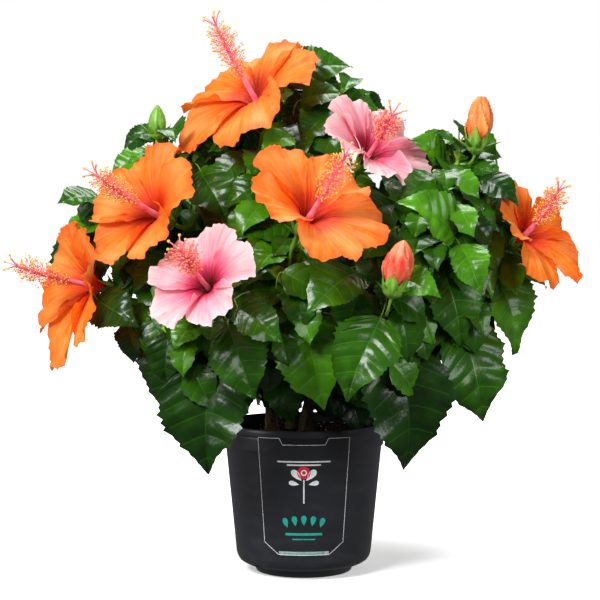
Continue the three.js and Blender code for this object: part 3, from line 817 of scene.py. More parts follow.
# The order of the masses gives each its seed.
MASSES = {
    "low_left": MassPlan(
        stem="stem_left", at=0.62, bough=(-95, -45, 262), shoot=(-124, -66, 296), space=(80, 75, 110),
        leaf=92, droop=62, leaves=7, leads=((-145, -85, 175, 107, -139, 71),),
    ),
    "front_left": MassPlan(
        stem="stem_left", at=0.84, bough=(-76, -78, 262), shoot=(-88, -118, 286), space=(70, 65, 110),
        leaf=88, droop=66, leaves=5, leads=((-98, -135, 122, 126, -114, 82), (-48, -175, 203, 79, -29, 67)),
    ),
    "front_centre": MassPlan(
        stem="stem_right", at=0.72, bough=(-14, -92, 280), shoot=(-14, -130, 312), space=(70, 65, 90),
        leaf=80, droop=62, leaves=6,
        leads=((21, -155, 193, 103, -48, 67), (-21, -200, 263, 60, -30, 30), (5, -195, 293, 75, -137, 27)),
    ),
    "front_right": MassPlan(
        stem="stem_right", at=0.88, bough=(62, -84, 274), shoot=(86, -122, 296), space=(70, 60, 110),
        leaf=84, droop=66, leaves=5, leads=((40, -195, 205, 90, -145, 61), (107, -140, 128, 127, -55, 78)),
    ),
    "right": MassPlan(
        stem="stem_right", at=0.95, bough=(148, -12, 328), shoot=(194, -38, 356), space=(75, 80, 80),
        leaf=84, droop=45, leaves=7, leads=((226, -62, 240, 97, -30, 68), (256, -45, 309, 76, -23, 33)),
    ),
    "low_right": MassPlan(
        stem="stem_right", at=0.68, bough=(112, -48, 280), shoot=(146, -84, 312), space=(75, 75, 105),
        leaf=88, droop=60, leaves=6,
        leads=((185, -110, 174, 108, -33, 70), (162, -140, 253, 90, -45, 67), (137, -75, 241, 77, -35, 55)),
    ),
    "mid_right": MassPlan(
        stem="stem_right", at=1, bough=(108, -78, 342), shoot=(142, -124, 376), space=(65, 60, 65),
        leaf=74, droop=40, leaves=6,
        leads=((95, -172, 401, 76, -147, -28), (176, -165, 307, 58, -52, 54), (133, -192, 307, 52, -34, 14)),
    ),
    "upper_right": MassPlan(
        stem="stem_right", at=0.92, bough=(120, -18, 392), shoot=(160, -46, 432), space=(72, 75, 70),
        leaf=68, droop=30, leaves=9,
        leads=((110, -60, 462, 50, -151, -34), (206, -75, 412, 52, -35, 26), (218, -95, 395, 54, -33, 27)),
    ),
    "top": MassPlan(
        stem="stem_back", at=0.9, bough=(-8, -2, 424), shoot=(18, 4, 500), space=(85, 75, 80),
        leaf=80, droop=22, leaves=11, leads=((49, -15, 542, 70, -13, -15), (-4, -50, 460, 70, -148, 37)),
    ),
    "upper_left": MassPlan(
        stem="stem_left", at=0.92, bough=(-112, -8, 398), shoot=(-146, -22, 446), space=(75, 75, 75),
        leaf=74, droop=28, leaves=10, leads=((-193, -30, 452, 54, -165, 22), (-77, -95, 376, 70, -49, 49)),
    ),
    "left": MassPlan(
        stem="stem_left", at=0.86, bough=(-158, -18, 326), shoot=(-204, -40, 362), space=(70, 80, 85),
        leaf=80, droop=42, leaves=7,
        leads=(
            (-253, -85, 398, 52, -145, 0), (-168, -125, 273, 66, -42, 21), (-231, -35, 269, 110, -103, 82),
        ),
    ),
    "centre": MassPlan(
        stem="stem_left", at=1, bough=(-44, -52, 356), shoot=(-34, -86, 404), space=(80, 70, 75),
        leaf=78, droop=36, leaves=8, leads=((-68, -135, 363, 60, -153, 11),),
    ),
    "back_top": MassPlan(
        stem="stem_back", at=1, bough=(-34, 92, 400), shoot=(-46, 122, 454), space=(100, 85, 90),
        leaf=92, droop=40, leaves=12, leads=(),
    ),
    "back_left": MassPlan(
        stem="stem_back", at=0.76, bough=(-112, 80, 328), shoot=(-158, 112, 366), space=(95, 95, 100),
        leaf=98, droop=48, leaves=11, leads=(),
    ),
    "back_right": MassPlan(
        stem="stem_back", at=0.84, bough=(112, 74, 336), shoot=(156, 106, 382), space=(95, 95, 100),
        leaf=98, droop=46, leaves=11, leads=(),
    ),
    "heart": MassPlan(
        stem="stem_back", at=0.96, bough=(2, 24, 330), shoot=(4, 10, 388), space=(110, 75, 90),
        leaf=90, droop=45, leaves=9, leads=(),
    ),
    "inner": MassPlan(
        stem="stem_back", at=0.5, bough=(-16, 78, 262), shoot=(-6, 122, 300), space=(95, 90, 110),
        leaf=98, droop=62, leaves=9, leads=(),
    ),
    "low_back_left": MassPlan(
        stem="stem_back", at=0.6, bough=(-78, 108, 270), shoot=(-106, 148, 304), space=(95, 95, 115),
        leaf=104, droop=64, leaves=9, leads=(),
    ),
    "low_back_right": MassPlan(
        stem="stem_back", at=0.66, bough=(80, 110, 272), shoot=(108, 150, 306), space=(95, 95, 115),
        leaf=104, droop=64, leaves=9, leads=(),
    ),
}

BLOOMS = {
    "bloom_top": BloomPlan(
        kind=Kind.ORANGE, on="top", at=0.12, throat=(-50, -20, 502), face=(-0.47, -0.36, 0.81),
        turn=14, opening=74, hang=34, size=1, column=0.92,
    ),
    "bloom_upper_left": BloomPlan(
        kind=Kind.ORANGE, on="upper_left", at=0.1, throat=(-149, -110, 384), face=(-0.67, -0.61, 0.42),
        turn=10, opening=70, hang=0, size=0.84, column=0.84,
    ),
    "bloom_centre": BloomPlan(
        kind=Kind.ORANGE, on="front_centre", at=0.96, throat=(5, -172, 382), face=(0.43, -0.58, 0.69),
        turn=20, opening=70, hang=0, size=0.9, column=0.82,
    ),
    "bloom_left": BloomPlan(
        kind=Kind.ORANGE, on="left", at=0.3, throat=(-217, -62, 309), face=(-0.85, -0.48, 0.2),
        turn=30, opening=62, hang=30, size=0.8, column=0.88,
    ),
    "bloom_right": BloomPlan(
        kind=Kind.ORANGE, on="right", at=0.85, throat=(226, -72, 360), face=(0.66, -0.5, 0.56),
        turn=0, opening=66, hang=20, size=0.7, column=0.54, rise=20,
    ),
    "bloom_low_left": BloomPlan(
        kind=Kind.PINK, on="front_left", at=0.95, throat=(-95, -185, 316), face=(-0.46, -0.66, 0.6),
        turn=5, opening=73, hang=0, size=0.92, column=0.82,
    ),
    "bloom_upper_right": BloomPlan(
        kind=Kind.PINK, on="upper_right", at=0.05, throat=(67, -62, 445), face=(0.48, -0.51, 0.71),
        turn=12, opening=70, hang=0, size=0.97, column=0.8,
    ),
    "bloom_back_top": BloomPlan(
        kind=Kind.ORANGE, on="back_top", at=0.95, throat=(-16, 178, 446), face=(-0.15, 0.85, 0.5),
        turn=12, opening=72, hang=16, size=0.74, column=0.76,
    ),
    "bloom_back_right": BloomPlan(
        kind=Kind.PINK, on="back_right", at=0.95, throat=(150, 172, 364), face=(0.45, 0.8, 0.38),
        turn=20, opening=72, hang=8, size=0.86, column=0.78,
    ),
    "bloom_back_left": BloomPlan(
        kind=Kind.PINK, on="back_left", at=0.95, throat=(-136, 176, 344), face=(-0.5, 0.78, 0.36),
        turn=0, opening=72, hang=8, size=0.82, column=0.76,
    ),
    "bloom_low_back": BloomPlan(
        kind=Kind.ORANGE, on="low_back_right", at=0.95, throat=(60, 214, 296), face=(0.1, 0.92, 0.36),
        turn=5, opening=70, hang=14, size=0.7, column=0.72,
    ),
}

BUDS = {
    "bud_upper_left": BudPlan("upper_left", 0.96, (-154, -34, 466), (-153, -34, 497), 8.5, Stage.GREEN),
    "bud_top": BudPlan("top", 0.9, (46, 2, 484), (44, 2, 514), 7.5, Stage.GREEN),
    "bud_opening": BudPlan("upper_right", 0.97, (177, -66, 452), (184, -66, 504), 12, Stage.OPENING),
    "bud_red": BudPlan("front_right", 0.96, (86, -192, 311), (97, -194, 360), 12.5, Stage.FURLED),
}

# Small buds at the tips of fine twigs, which only the looks carry.
SMALL_BUDS = (
    BudPlan("upper_right", 0.8, (185, -90, 392), (190, -90, 417), 5.5, Stage.GREEN),
    BudPlan("upper_right", 0.6, (157, -60, 415), (159, -60, 439), 5.0, Stage.GREEN),
)


# ---- wood ----
@dataclass(frozen=True)
class Limb:
    """A tapering limb along a curve."""

    arc: Arc
    foot_radius: float
    tip_radius: float
    flare: float = 0.0

    def radius(self, share: float | Array) -> float | Array:
        """Radius at a share of the length."""
        return mix(self.foot_radius, self.tip_radius, share) + self.flare * (1 - share) ** 8

    def bark(self, pile: Pile, sides: int, step: float, knot: float) -> None:
        """Adds the limb with its ridges, leaf scars and the rings at its nodes.

        Args:
            pile: The piece being gathered.
            sides: Corners round the limb.
            step: Distance between rings.
            knot: Distance between nodes.
        """
        rows = max(10, round(self.arc.length / step))
        shares = spread(rows)
        walked = (shares * self.arc.length)[:, None]
        around = (TURN * np.arange(sides) / sides)[None]
        ridges = 0.05 * np.sin(3 * around + 0.11 * walked) + 0.035 * np.sin(5 * around - 0.23 * walked + 1.3)
        ridges = ridges + 0.03 * np.sin(8 * around + 0.52 * walked + 2.1)
        phase = np.mod(walked, knot) - 0.5 * knot
        number = np.floor(walked / knot)
        ring = 0.12 * np.exp(-((phase / 1.6) ** 2))
        scar = 0.3 * np.exp(-((phase / 2.4) ** 2)) * np.clip(np.cos(around - GOLDEN * number), 0, 1) ** 6
        radii = self.radius(shares)[:, None] * (1 + ridges + ring + scar)
        pile.tube(self.arc.at(shares), radii, sides)


@dataclass
class Wood:
    """Stems, boughs and the shoots that carry on from them."""

    stem_radii: tuple[float, float, float] = (6.2, 4.2, 2.2)
    bough_radii: tuple[float, float] = (3.6, 2.4)
    shoot_radii: tuple[float, float] = (2.3, 1.5)
    bough_dip: float = 0.1
    shoot_follow: float = 0.28
    stem_bark: tuple[int, float, float] = (28, 1.6, 27)
    bough_bark: tuple[int, float, float] = (14, 2.2, 21)
    limbs: dict[str, Limb] = field(default_factory=dict)

    def __post_init__(self) -> None:
        """Lays out every limb from its plan."""
        for name, stem in STEMS.items():
            start = np.array([*stem.foot, SOIL_LEVEL + CLEAR])
            middle = np.array([*stem.foot, mix(start[2], stem.tip[2], 0.55)])
            self.limbs[name] = Limb(Arc(start, middle, np.array(stem.tip, float)), *self.stem_radii)
        for name, mass in MASSES.items():
            start = self.limbs[mass.stem].arc.at(mass.at)
            end = np.array(mass.bough, float)
            middle = (start + end) / 2 - self.bough_dip * math.hypot(*(end - start)[:2]) * UP
            bough = Limb(Arc(start, middle, end), *self.bough_radii)
            tip = np.array(mass.shoot, float)
            onward = bough.arc.heading(1) * self.shoot_follow * np.linalg.norm(tip - end)
            self.limbs["bough_" + name] = bough
            self.limbs["shoot_" + name] = Limb(Arc(end, end + onward, tip), *self.shoot_radii)

    def build(self) -> None:
        """Makes one piece for each stem and each bough."""
        for name in STEMS:
            pile = Pile()
            self.limbs[name].bark(pile, *self.stem_bark)
            self.sunk_foot(pile, self.limbs[name])
            pile.build("bark_" + name, (OLD_BARK,), "bark", (name,))
        for name in MASSES:
            pile = Pile()
            self.limbs["bough_" + name].bark(pile, *self.bough_bark)
            pile.build("bark_bough_" + name, (GREEN_BARK,), "bark", ("bough_" + name,))

    def sunk_foot(self, pile: Pile, limb: Limb) -> None:
        """Adds the short run of stem that stands in the mix."""
        foot, radius = limb.arc.at(0), limb.radius(0)
        pile.tube([foot + 0.5 * UP, foot - 3.5 * UP], [radius * 1.02, radius * 1.3], self.stem_bark[0])


# ---- leaves ----
@dataclass(frozen=True)
class Leaf:
    """One leaf: where its stalk leaves the twig, its foot, its tip and its upper face."""

    node: Array
    foot: Array
    tip: Array
    face: Array

    @property
    def length(self) -> float:
        """Length of the blade."""
        return float(np.linalg.norm(self.tip - self.foot))


def leaf_direction(heading: float, droop: float) -> Array:
    """Direction of a leaf.

    Args:
        heading: Its heading in plan (degrees).
        droop: How far it hangs (degrees).

    Returns:
        The direction, at unit length.
    """
    heading, droop = math.radians(heading), math.radians(droop)
    level = math.cos(droop)
    return np.array([level * math.cos(heading), level * math.sin(heading), -math.sin(droop)])


def grown_leaf(node: Array, foot: Array, direction: Array, length: float) -> Leaf:
    """Leaf whose upper face looks up and away from the middle of the crown.

    Args:
        node: Where its stalk leaves the twig.
        foot: Foot of the blade.
        direction: Way that the blade points.
        length: Length of the blade.

    Returns:
        The leaf.
    """
    tip = foot + direction * length
    middle = (foot + tip) / 2
    outward = unit(np.array([middle[0] / 500, (middle[1] - 60) / 150, 0]))
    return Leaf(node, foot, tip, square(0.9 * outward + 0.6 * UP, direction))


def half_width(share: float | Array) -> float | Array:
    """Outline of a blade, as half its width against its widest: full, with a drawn-out tip."""
    return np.abs(np.sin(np.pi * share**0.7)) ** 0.7 * (1 - 0.5 * smooth(0.72, 0.96, share))


@dataclass(frozen=True)
class Blade:
    """The form of a leaf blade: toothed margin, veins and the swell between them."""

    width: float = 0.36
    arch: float = 0.05
    fold: float = 0.16
    veins: int = 7
    vein_width: float = 0.0042
    swell: float = 0.016
    palm: float = 0.3
    columns: tuple[float, ...] = (0.022, 0.2, 0.42, 0.65, 0.86, 1.0)
    between: tuple[float, ...] = (0.25, 0.5, 0.75)
    teeth: tuple[float, ...] = (0.96, 1.02, 0.965)

    def add(self, pile: Pile, leaf: Leaf, look: int, dice: Dice) -> None:
        """Adds one blade to a piece.

        Args:
            pile: The piece being gathered.
            leaf: The leaf.
            look: Number of its finish.
            dice: Gives the leaf its own twist and waves.
        """
        length = leaf.length
        along = unit(leaf.tip - leaf.foot)
        side = np.cross(along, leaf.face)
        margin, tooth, share, veined = self.rows()
        beyond = 0.02 + 0.98 * (margin - self.palm) / (1 - self.palm)
        ribs = np.where(margin < self.palm, 0.02 * margin / self.palm, beyond)
        out = np.array([-t for t in self.columns[::-1]] + list(self.columns))
        size = min(1.0, length / 100)
        tooth = 1 + (tooth - 1) * dice.many(0.2, 1.9, len(tooth))
        stagger = 0.03 * np.sign(out) * np.abs(out) ** 0.5 * np.sin(math.pi * margin)[:, None]
        run = ribs[:, None] + (margin - ribs)[:, None] * np.abs(out) ** 1.3 + stagger
        rows, sides = margin[:, None], np.where(out > 0, 1.0, 0.0)
        ragged = 0.05 * np.sin(11 * rows + dice.between(0, 6) + 2 * sides)
        ragged = ragged + 0.035 * np.sin(23 * rows + dice.between(0, 6) - 3 * sides)
        wide = self.width * half_width(margin) * mix(1, tooth, smooth(0.04, 0.3, margin))
        ragged = 1 + ragged * np.abs(out) ** 4 * smooth(0.02, 0.2, rows) * smooth(1, 0.85, rows)
        twist, wave, lift = dice.between(-0.5, 0.5), dice.between(0, 6), dice.between(0.4, 1.9)
        lean = dice.between(-0.05, 0.05)
        across = wide[:, None] * out * (1 + lean * np.sign(out)) * ragged + 0.5 * lean * np.sin(math.pi * run)
        distance = np.abs(out)[None]
        rise = self.fold * lift * wide[:, None] * distance
        bow = 4 * run * (1 - run) * self.arch * dice.between(1.0, 2.6)
        rise = rise + bow - (0.06 + 0.1 * size * dice.between(0, 1)) * run**3
        swell = self.swell * dice.between(0.7, 1.4) * np.sin(math.pi * share)[:, None]
        swell = swell * np.sin(math.pi * distance**0.8)
        swell = swell + 0.4 * self.swell * (distance > 0.03) * smooth(0, 0.2, distance)
        flutter = 0.034 * np.sin(7.5 * run + wave + 1.7 * np.sign(out))
        flutter = flutter + 0.02 * np.sin(17 * run - wave + np.sign(out))
        flutter = flutter * distance**1.8 * smooth(0, 0.3, run)
        rise = rise + swell * smooth(0, 0.12, run) * smooth(1, 0.85, run) + flutter
        turn = twist * (run - 0.4)
        sideways = across * np.cos(turn) - rise * np.sin(turn)
        upward = across * np.sin(turn) + rise * np.cos(turn)
        local = run[..., None] * along + sideways[..., None] * side + upward[..., None] * leaf.face
        points = leaf.foot + length * local
        looks = np.full((len(margin) - 1, len(out) - 1), look)
        looks[veined, 1:-1] = look + VEIN_LOOK
        looks[:, len(self.columns) - 1] = look + VEIN_LOOK
        place = np.stack([run, np.broadcast_to(out, run.shape), np.full(run.shape, twist)], axis=-1)
        pile.add(points, net(len(margin), len(out)), looks.ravel(), place)

    def rows(self) -> tuple[Array, Array, Array, Array]:
        """Rows of a blade from its foot to its tip.

        Returns:
            Where each row meets the margin, its tooth, its share of the way between veins, and which
            runs between rows are veins.
        """
        spots, teeth, shares, veined = [0.012], [1.0], [0.5], []
        veins = np.linspace(0.13, 0.9, self.veins)
        for number, vein in enumerate(veins):
            spots += [vein - self.vein_width, vein + self.vein_width]
            teeth += [1.06, 1.045]
            shares += [0.0, 0.0]
            veined.append(len(spots) - 2)
            after = veins[number + 1] if number + 1 < self.veins else 0.985
            for share, tooth in zip(self.between, self.teeth):
                spots.append(mix(vein + self.vein_width, after - self.vein_width, share))
                teeth.append(tooth)
                shares.append(share)
        spots.append(0.997)
        teeth.append(1.0)
        shares.append(0.5)
        return np.array(spots), np.array(teeth), np.array(shares), np.array(veined)

    def trial(self, leaf: Leaf) -> tuple[Array, Array]:
        """Coarse copy of a leaf, to see what it would touch.

        Args:
            leaf: The leaf.

        Returns:
            Its points and its three-cornered faces.
        """
        length = leaf.length
        along = unit(leaf.tip - leaf.foot)
        side = np.cross(along, leaf.face)
        points = [leaf.foot]
        for share in (0.2, 0.45, 0.75):
            half = self.width * length * half_width(share)
            bow = leaf.face * 4 * share * (1 - share) * self.arch * length
            middle = leaf.foot + (leaf.tip - leaf.foot) * share + bow
            fold = leaf.face * self.fold * half
            points += [middle - side * half + fold, middle, middle + side * half + fold]
        points.append(leaf.tip)
        faces = [[0, 1, 2], [0, 2, 3], [7, 10, 8], [8, 10, 9]]
        for row in (1, 4):
            for corner in (row, row + 1):
                faces += [[corner, corner + 3, corner + 4], [corner, corner + 4, corner + 1]]
        return np.array(points), np.array(faces)


def touch_tree(points: Sequence[Array], faces: Sequence[Array]) -> BVHTree:
    """Search tree of several forms together."""
    return BVHTree.FromPolygons(np.concatenate(points).tolist(), np.concatenate(faces).tolist())


@dataclass
class Crowd:
    """Everything that has been placed, to keep new growth clear of it."""

    points: list[Array] = field(default_factory=list)
    faces: list[Array] = field(default_factory=list)
    count: int = 0
    fixed: BVHTree = field(init=False)

    def __post_init__(self) -> None:
        """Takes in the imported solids."""
        points, faces, count = [], [], 0
        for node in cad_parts.values():
            spots = node_points(node)
            mesh = node.data
            mesh.calc_loop_triangles()
            corners = np.zeros(len(mesh.loop_triangles) * 3, np.int32)
            mesh.loop_triangles.foreach_get("vertices", corners)
            points.append(spots)
            faces.append(corners.reshape(-1, 3) + count)
            count += len(spots)
        self.fixed = touch_tree(points, faces)

    def takes(self, points: Array, faces: Array) -> bool:
        """Adds a form unless it touches what is there.

        Args:
            points: Its points.
            faces: Its three-cornered faces.

        Returns:
            Whether it was added.
        """
        tree = touch_tree([points], [faces])
        if self.fixed.overlap(tree):
            return False
        if self.faces and touch_tree(self.points, self.faces).overlap(tree):
            return False
        self.faces.append(faces + self.count)
        self.points.append(points)
        self.count += len(points)
        return True


def node_points(node: bpy.types.Object) -> Array:
    """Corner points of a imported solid.

    Args:
        node: The solid.

    Returns:
        Its points, in millimetres.
    """
    spots = np.zeros(len(node.data.vertices) * 3, np.float32)
    node.data.vertices.foreach_get("co", spots)
    return spots.reshape(-1, 3).astype(float) / MM


@dataclass
class Foliage:
    """One mass of foliage: its shoot, twigs and leaves, grown on to finer twigs."""

    name: str
    number: int
    wood: Wood
    crowd: Crowd
    twig_radii: tuple[float, float] = (1.9, 1.5)
    twig_reach: float = 0.62
    twig_places: tuple[float, ...] = (0.35, 0.65)
    petiole_share: float = 0.34
    lead_backs: tuple[float, ...] = (0, 12, -12, 24, 36)
    lead_places: tuple[float, ...] = (0.3, 0.45, 0.6, 0.75, 0.9)
    swings: tuple[float, ...] = (0, 25, -25, 50, -50, 80, -80, 110, -110, 145, -145, 180)
    drops: tuple[float, ...] = (0, 20, -20)
    fine_places: tuple[float, ...] = (0.25, 0.5, 0.72, 0.9)
    low_places: tuple[float, ...] = (0.16, 0.26, 0.36, 0.46, 0.56, 0.66)
    bough_places: tuple[float, ...] = (0.4, 0.6, 0.8, 0.95)
    fine_reach: float = 0.36
    # Masses whose leaves take fresher greens, as painted light.
    painted_lit_masses: tuple[str, ...] = ("mid_right", "upper_right", "front_centre")
    near: float = 0.3
    twig_near: float = 1.75
    tuft_places: tuple[float, ...] = (0.97, 0.7, 0.4)
    bare_tuft_places: tuple[float, ...] = (0.97, 0.75, 0.5, 0.3)
    most_tries: int = 21
    shoot_bark: tuple[int, float, float] = (8, 3.0, 16)
    twig_bark: tuple[int, float, float] = (7, 4.0, 13)

    def __post_init__(self) -> None:
        """Finds the plan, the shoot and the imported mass."""
        self.plan = MASSES[self.name]
        self.limb = self.wood.limbs["shoot_" + self.name]
        self.leaves: list[Leaf] = []
        self.fine: list[tuple[Leaf, int]] = []
        self.sprigs: list[tuple[Arc, float, float]] = []
        bough, shoot = np.array(self.plan.bough, float), np.array(self.plan.shoot, float)
        self.centre = shoot + (bough - shoot) * 0.35 - UP * 0.12 * self.plan.droop
        spots = node_points(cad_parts["foliage_" + self.name])
        self.corners = KDTree(len(spots))
        for place, spot in enumerate(spots):
            self.corners.insert(Vector(spot), place)
        self.corners.balance()

    def packed(self, spot: Array, within: float) -> bool:
        """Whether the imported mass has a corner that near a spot."""
        return self.corners.find(Vector(spot))[2] < within

    def branch_frame(self, branch: Arc, at: float) -> tuple[Array, Array, Array, Array]:
        """Place on a branch and the directions there.

        Args:
            branch: The branch.
            at: Share of its length.

        Returns:
            The place, the branch's direction and two more, square to it.
        """
        onward = branch.heading(at)
        level = square(SIDEWAYS if abs(onward[2]) > 0.9 else UP, onward)
        return branch.at(at), onward, level, np.cross(onward, level)

    def twig(self, branch: Arc, at: float, turn: float, reach: float) -> Arc:
        """Straight side twig from a branch.

        Args:
            branch: What it leaves.
            at: Share of the branch's length.
            turn: Turn about the branch.
            reach: Its length.

        Returns:
            The twig's curve.
        """
        start, onward, level, beside = self.branch_frame(branch, at)
        away = unit(level * math.cos(turn) + beside * math.sin(turn) + onward * 0.7 + UP * 0.25)
        return line_arc(start, start + away * reach)

    def choices(self, branch: Arc, at: float, turn: float, size: float, droop: float) -> list[Leaf]:
        """Places to try for one leaf, best first.

        Args:
            branch: What it grows from.
            at: Share of the branch's length.
            turn: Turn about the branch.
            size: Length of the blade.
            droop: How far it hangs (degrees).

        Returns:
            The leaves that could stand there.
        """
        node, onward, level, beside = self.branch_frame(branch, at)
        crown_out = unit(np.array([node[0], node[1] - 20, 0]))
        found = []
        for swing in self.swings:
            for extra in self.drops:
                angle = turn + math.radians(swing)
                away = level * math.cos(angle) + beside * math.sin(angle) + onward * 0.5 + crown_out * 0.45
                heading = math.degrees(math.atan2(away[1], away[0]))
                rising = unit(unit(away) + UP * 0.35)
                foot = node + rising * self.petiole_share * size
                found.append(grown_leaf(node, foot, leaf_direction(heading, droop + extra), size))
        return found

    def inside(self, spot: Array) -> bool:
        """Whether a spot lies in the space of the mass."""
        return bool(np.sum(((spot - self.centre) / self.plan.space) ** 2) <= 1)

    def grow(self) -> None:
        """Grows the shoot, twigs and leaves by the same rule as the solids."""
        plan, dice = self.plan, Dice(self.number + 3)
        branches = [self.limb.arc]
        for order, at in enumerate(self.twig_places):
            turn = (order + 1) * GOLDEN + dice.between(0, 1.5)
            twig = self.twig(self.limb.arc, at, turn, self.twig_reach * plan.leaf * dice.between(0.8, 1.1))
            if self.packed(twig.end, self.twig_near):
                branches.append(twig)
                self.sprigs.append((twig, *self.twig_radii))
        for x, y, z, length, heading, droop in plan.leads:
            direction = leaf_direction(heading, droop)
            tips = [np.array([x, y + back, z], float) for back in self.lead_backs]
            tip = next((tip for tip in tips if self.packed(tip, self.near)), None)
            if tip is not None:
                foot = tip - direction * length
                nodes = self.limb.arc.at(np.array(self.lead_places))
                node = nodes[np.argmin(np.linalg.norm(nodes - foot, axis=1))]
                self.leaves.append(grown_leaf(node, foot, direction, length))
        for count in range(plan.leaves):
            order, last = count // len(branches), (plan.leaves - 1) // len(branches)
            at = mix(0.95, 0.4, order / last if last else 0)
            turn = count * GOLDEN + dice.between(-0.3, 0.3)
            size = plan.leaf * mix(0.62, 1, min(1, 1.6 * (1 - at))) * dice.between(0.88, 1.08)
            droop = plan.droop * dice.between(0.6, 1.1)
            found = self.choices(branches[count % len(branches)], at, turn, size, droop)
            leaf = next((leaf for leaf in found if self.packed(leaf.tip, self.near)), None)
            if leaf is not None:
                self.leaves.append(leaf)
        self.branches = branches

    def grow_finer(self, blade: Blade) -> None:
        """Carries the mass on to finer twigs and smaller leaves within its space.

        Args:
            blade: The form that tells what a leaf would touch.
        """
        dice = Dice(self.number + 61)
        for branch in self.branches:
            for order, at in enumerate(self.fine_places):
                turn = (order + 2) * GOLDEN + dice.between(-0.4, 0.4)
                reach = self.fine_reach * self.plan.leaf * dice.between(0.7, 1.15)
                sprig = self.twig(branch, at, turn, reach)
                sizes = dice.many(0.42, 0.68, len(self.tuft_places)) * self.plan.leaf
                placed = []
                for count, place in enumerate(self.tuft_places):
                    beside = turn + 2.4 * count
                    placed.append(self.try_leaf(blade, sprig, place, beside, sizes[count], dice))
                if any(placed):
                    self.sprigs.append((sprig, 1.2, 0.8))
            for order in range(3):
                size = self.plan.leaf * dice.between(0.24, 0.42)
                turn = order * GOLDEN + dice.between(0, 1)
                self.try_leaf(blade, branch, 0.99 - 0.04 * order, turn, size, dice, young=True)

    def grow_bare(self, blade: Blade, limbs: Sequence[Limb], places: Sequence[float]) -> None:
        """Grows short leafy side twigs from bare wood in the middle of the shrub.

        Args:
            blade: The form that tells what a leaf would touch.
            limbs: The stems or the bough.
            places: Shares of a limb's length where twigs stand.
        """
        low = len(limbs) > 1
        room = self.room_low if low else self.room_along
        dice = Dice(self.number + (83 if low else 167))
        for limb in limbs:
            for order, at in enumerate(places):
                reach = dice.between(26, 52) if low else dice.between(35, 75)
                sprig = self.twig(limb.arc, at, order * GOLDEN + dice.between(0, 1), reach)
                placed = []
                for count, place in enumerate(self.bare_tuft_places):
                    size = dice.between(50, 80)
                    placed.append(self.try_leaf(blade, sprig, place, 2.3 * count + at, size, dice, room=room))
                if any(placed):
                    self.sprigs.append((sprig, 1.3, 0.9))

    @staticmethod
    def room_low(spot: Array) -> bool:
        """Whether a spot lies low in the middle of the shrub."""
        return spot[2] > (152 if spot[1] > -48 else 190) and math.hypot(*spot[:2]) < 95

    def room_along(self, spot: Array) -> bool:
        """Whether a spot lies between the mass and the middle of the shrub."""
        nearer = math.hypot(*spot[:2]) < 0.92 * math.hypot(*self.centre[:2])
        return nearer and 195 < spot[2] < self.centre[2] + 30

    def try_leaf(
        self, blade: Blade, branch: Arc, at: float, turn: float, size: float, dice: Dice,
        young: bool = False, room: Callable[[Array], bool] | None = None
    ) -> bool:
        """Adds one finer leaf where there is room for it.

        Args:
            blade: The form that tells what a leaf would touch.
            branch: What it grows from.
            at: Share of the branch's length.
            turn: Turn about the branch.
            size: Length of the blade.
            dice: Gives its droop and tint.
            young: Whether it is a young, upright leaf.
            room: Tells where its tip may be; the space of the mass when left out.

        Returns:
            Whether it was added.
        """
        droop = self.plan.droop * dice.between(0.5, 1.1) - (45 if young else 0)
        draw = dice.between(0, 1)
        for leaf in self.choices(branch, at, turn, size, droop)[: self.most_tries]:
            if not (room or self.inside)(leaf.tip) or in_front_of_bloom(leaf):
                continue
            if self.crowd.takes(*blade.trial(leaf)):
                if room:
                    # Leaves on bare wood in the middle of the shrub take deeper greens, as painted shade.
                    look = Tint.DEEP if draw < 0.7 else Tint.MID
                elif young:
                    look = Tint.YOUNG if draw < 0.75 else Tint.FRESH
                else:
                    look = Tint.FRESH if draw < 0.3 else Tint.MID
                self.fine.append((leaf, look))
                return True
        return False

    def build(self, blade: Blade, fine: Blade) -> None:
        """Makes the piece of leaves and the piece of twigs.

        Args:
            blade: The form of a leaf.
            fine: The form of a finer leaf.
        """
        node = ("foliage_" + self.name,)
        dice = Dice(self.number + 211)
        leaves, twigs = Pile(), Pile()
        self.limb.bark(twigs, *self.shoot_bark)
        for curve, foot, tip in self.sprigs:
            Limb(curve, foot, tip).bark(twigs, *self.twig_bark)
        draws = [self.tint(leaf, dice.between(0, 1)) for leaf in self.leaves]
        for leaf, look in zip(self.leaves, draws):
            blade.add(leaves, leaf, look, dice)
            self.petiole(twigs, leaf)
        for leaf, look in self.fine:
            fine.add(leaves, leaf, look, dice)
            self.petiole(twigs, leaf)
        leaves.build("leaves_" + self.name, LEAF_FINISHES, "foliage", node, 75)
        twigs.build("twigs_" + self.name, (TWIG_BARK, PETIOLE_SKIN), "foliage", node)

    def tint(self, leaf: Leaf, draw: float) -> Tint:
        """Green of a grown leaf: lower leaves and leaves behind the front are deeper, as painted shade, and
        leaves of the lit masses fresher, as painted light.

        Args:
            leaf: The leaf.
            draw: Its own draw, from 0 to 1.

        Returns:
            Its place in the leaf finishes.
        """
        # Painted shade: low leaves and leaves behind the front take deeper greens; painted light: leaves of
        # the lit masses take fresher ones.
        depth = draw + 0.35 * (leaf.tip[2] < 215) + 0.35 * (leaf.foot[1] > -20)
        depth = depth - 0.15 * (self.name in self.painted_lit_masses)
        return Tint.FRESH if depth < 0.3 else Tint.MID if depth < 0.75 else Tint.DEEP

    @staticmethod
    def petiole(twigs: Pile, leaf: Leaf) -> None:
        """Adds a leaf's stalk, which bends over into the blade.

        Args:
            twigs: The piece being gathered.
            leaf: The leaf.
        """
        reach = np.linalg.norm(leaf.foot - leaf.node)
        along = unit(leaf.tip - leaf.foot)
        bend = leaf.foot - along * 0.35 * reach + UP * 0.08 * reach
        arc = Arc(leaf.node, bend, leaf.foot + along * 0.03 * leaf.length)
        radii = mix(1.0, 0.75, spread(6)) * mix(0.6, 1, min(1, leaf.length / 80))
        twigs.tube(arc.at(spread(6)), radii, 6, 1)


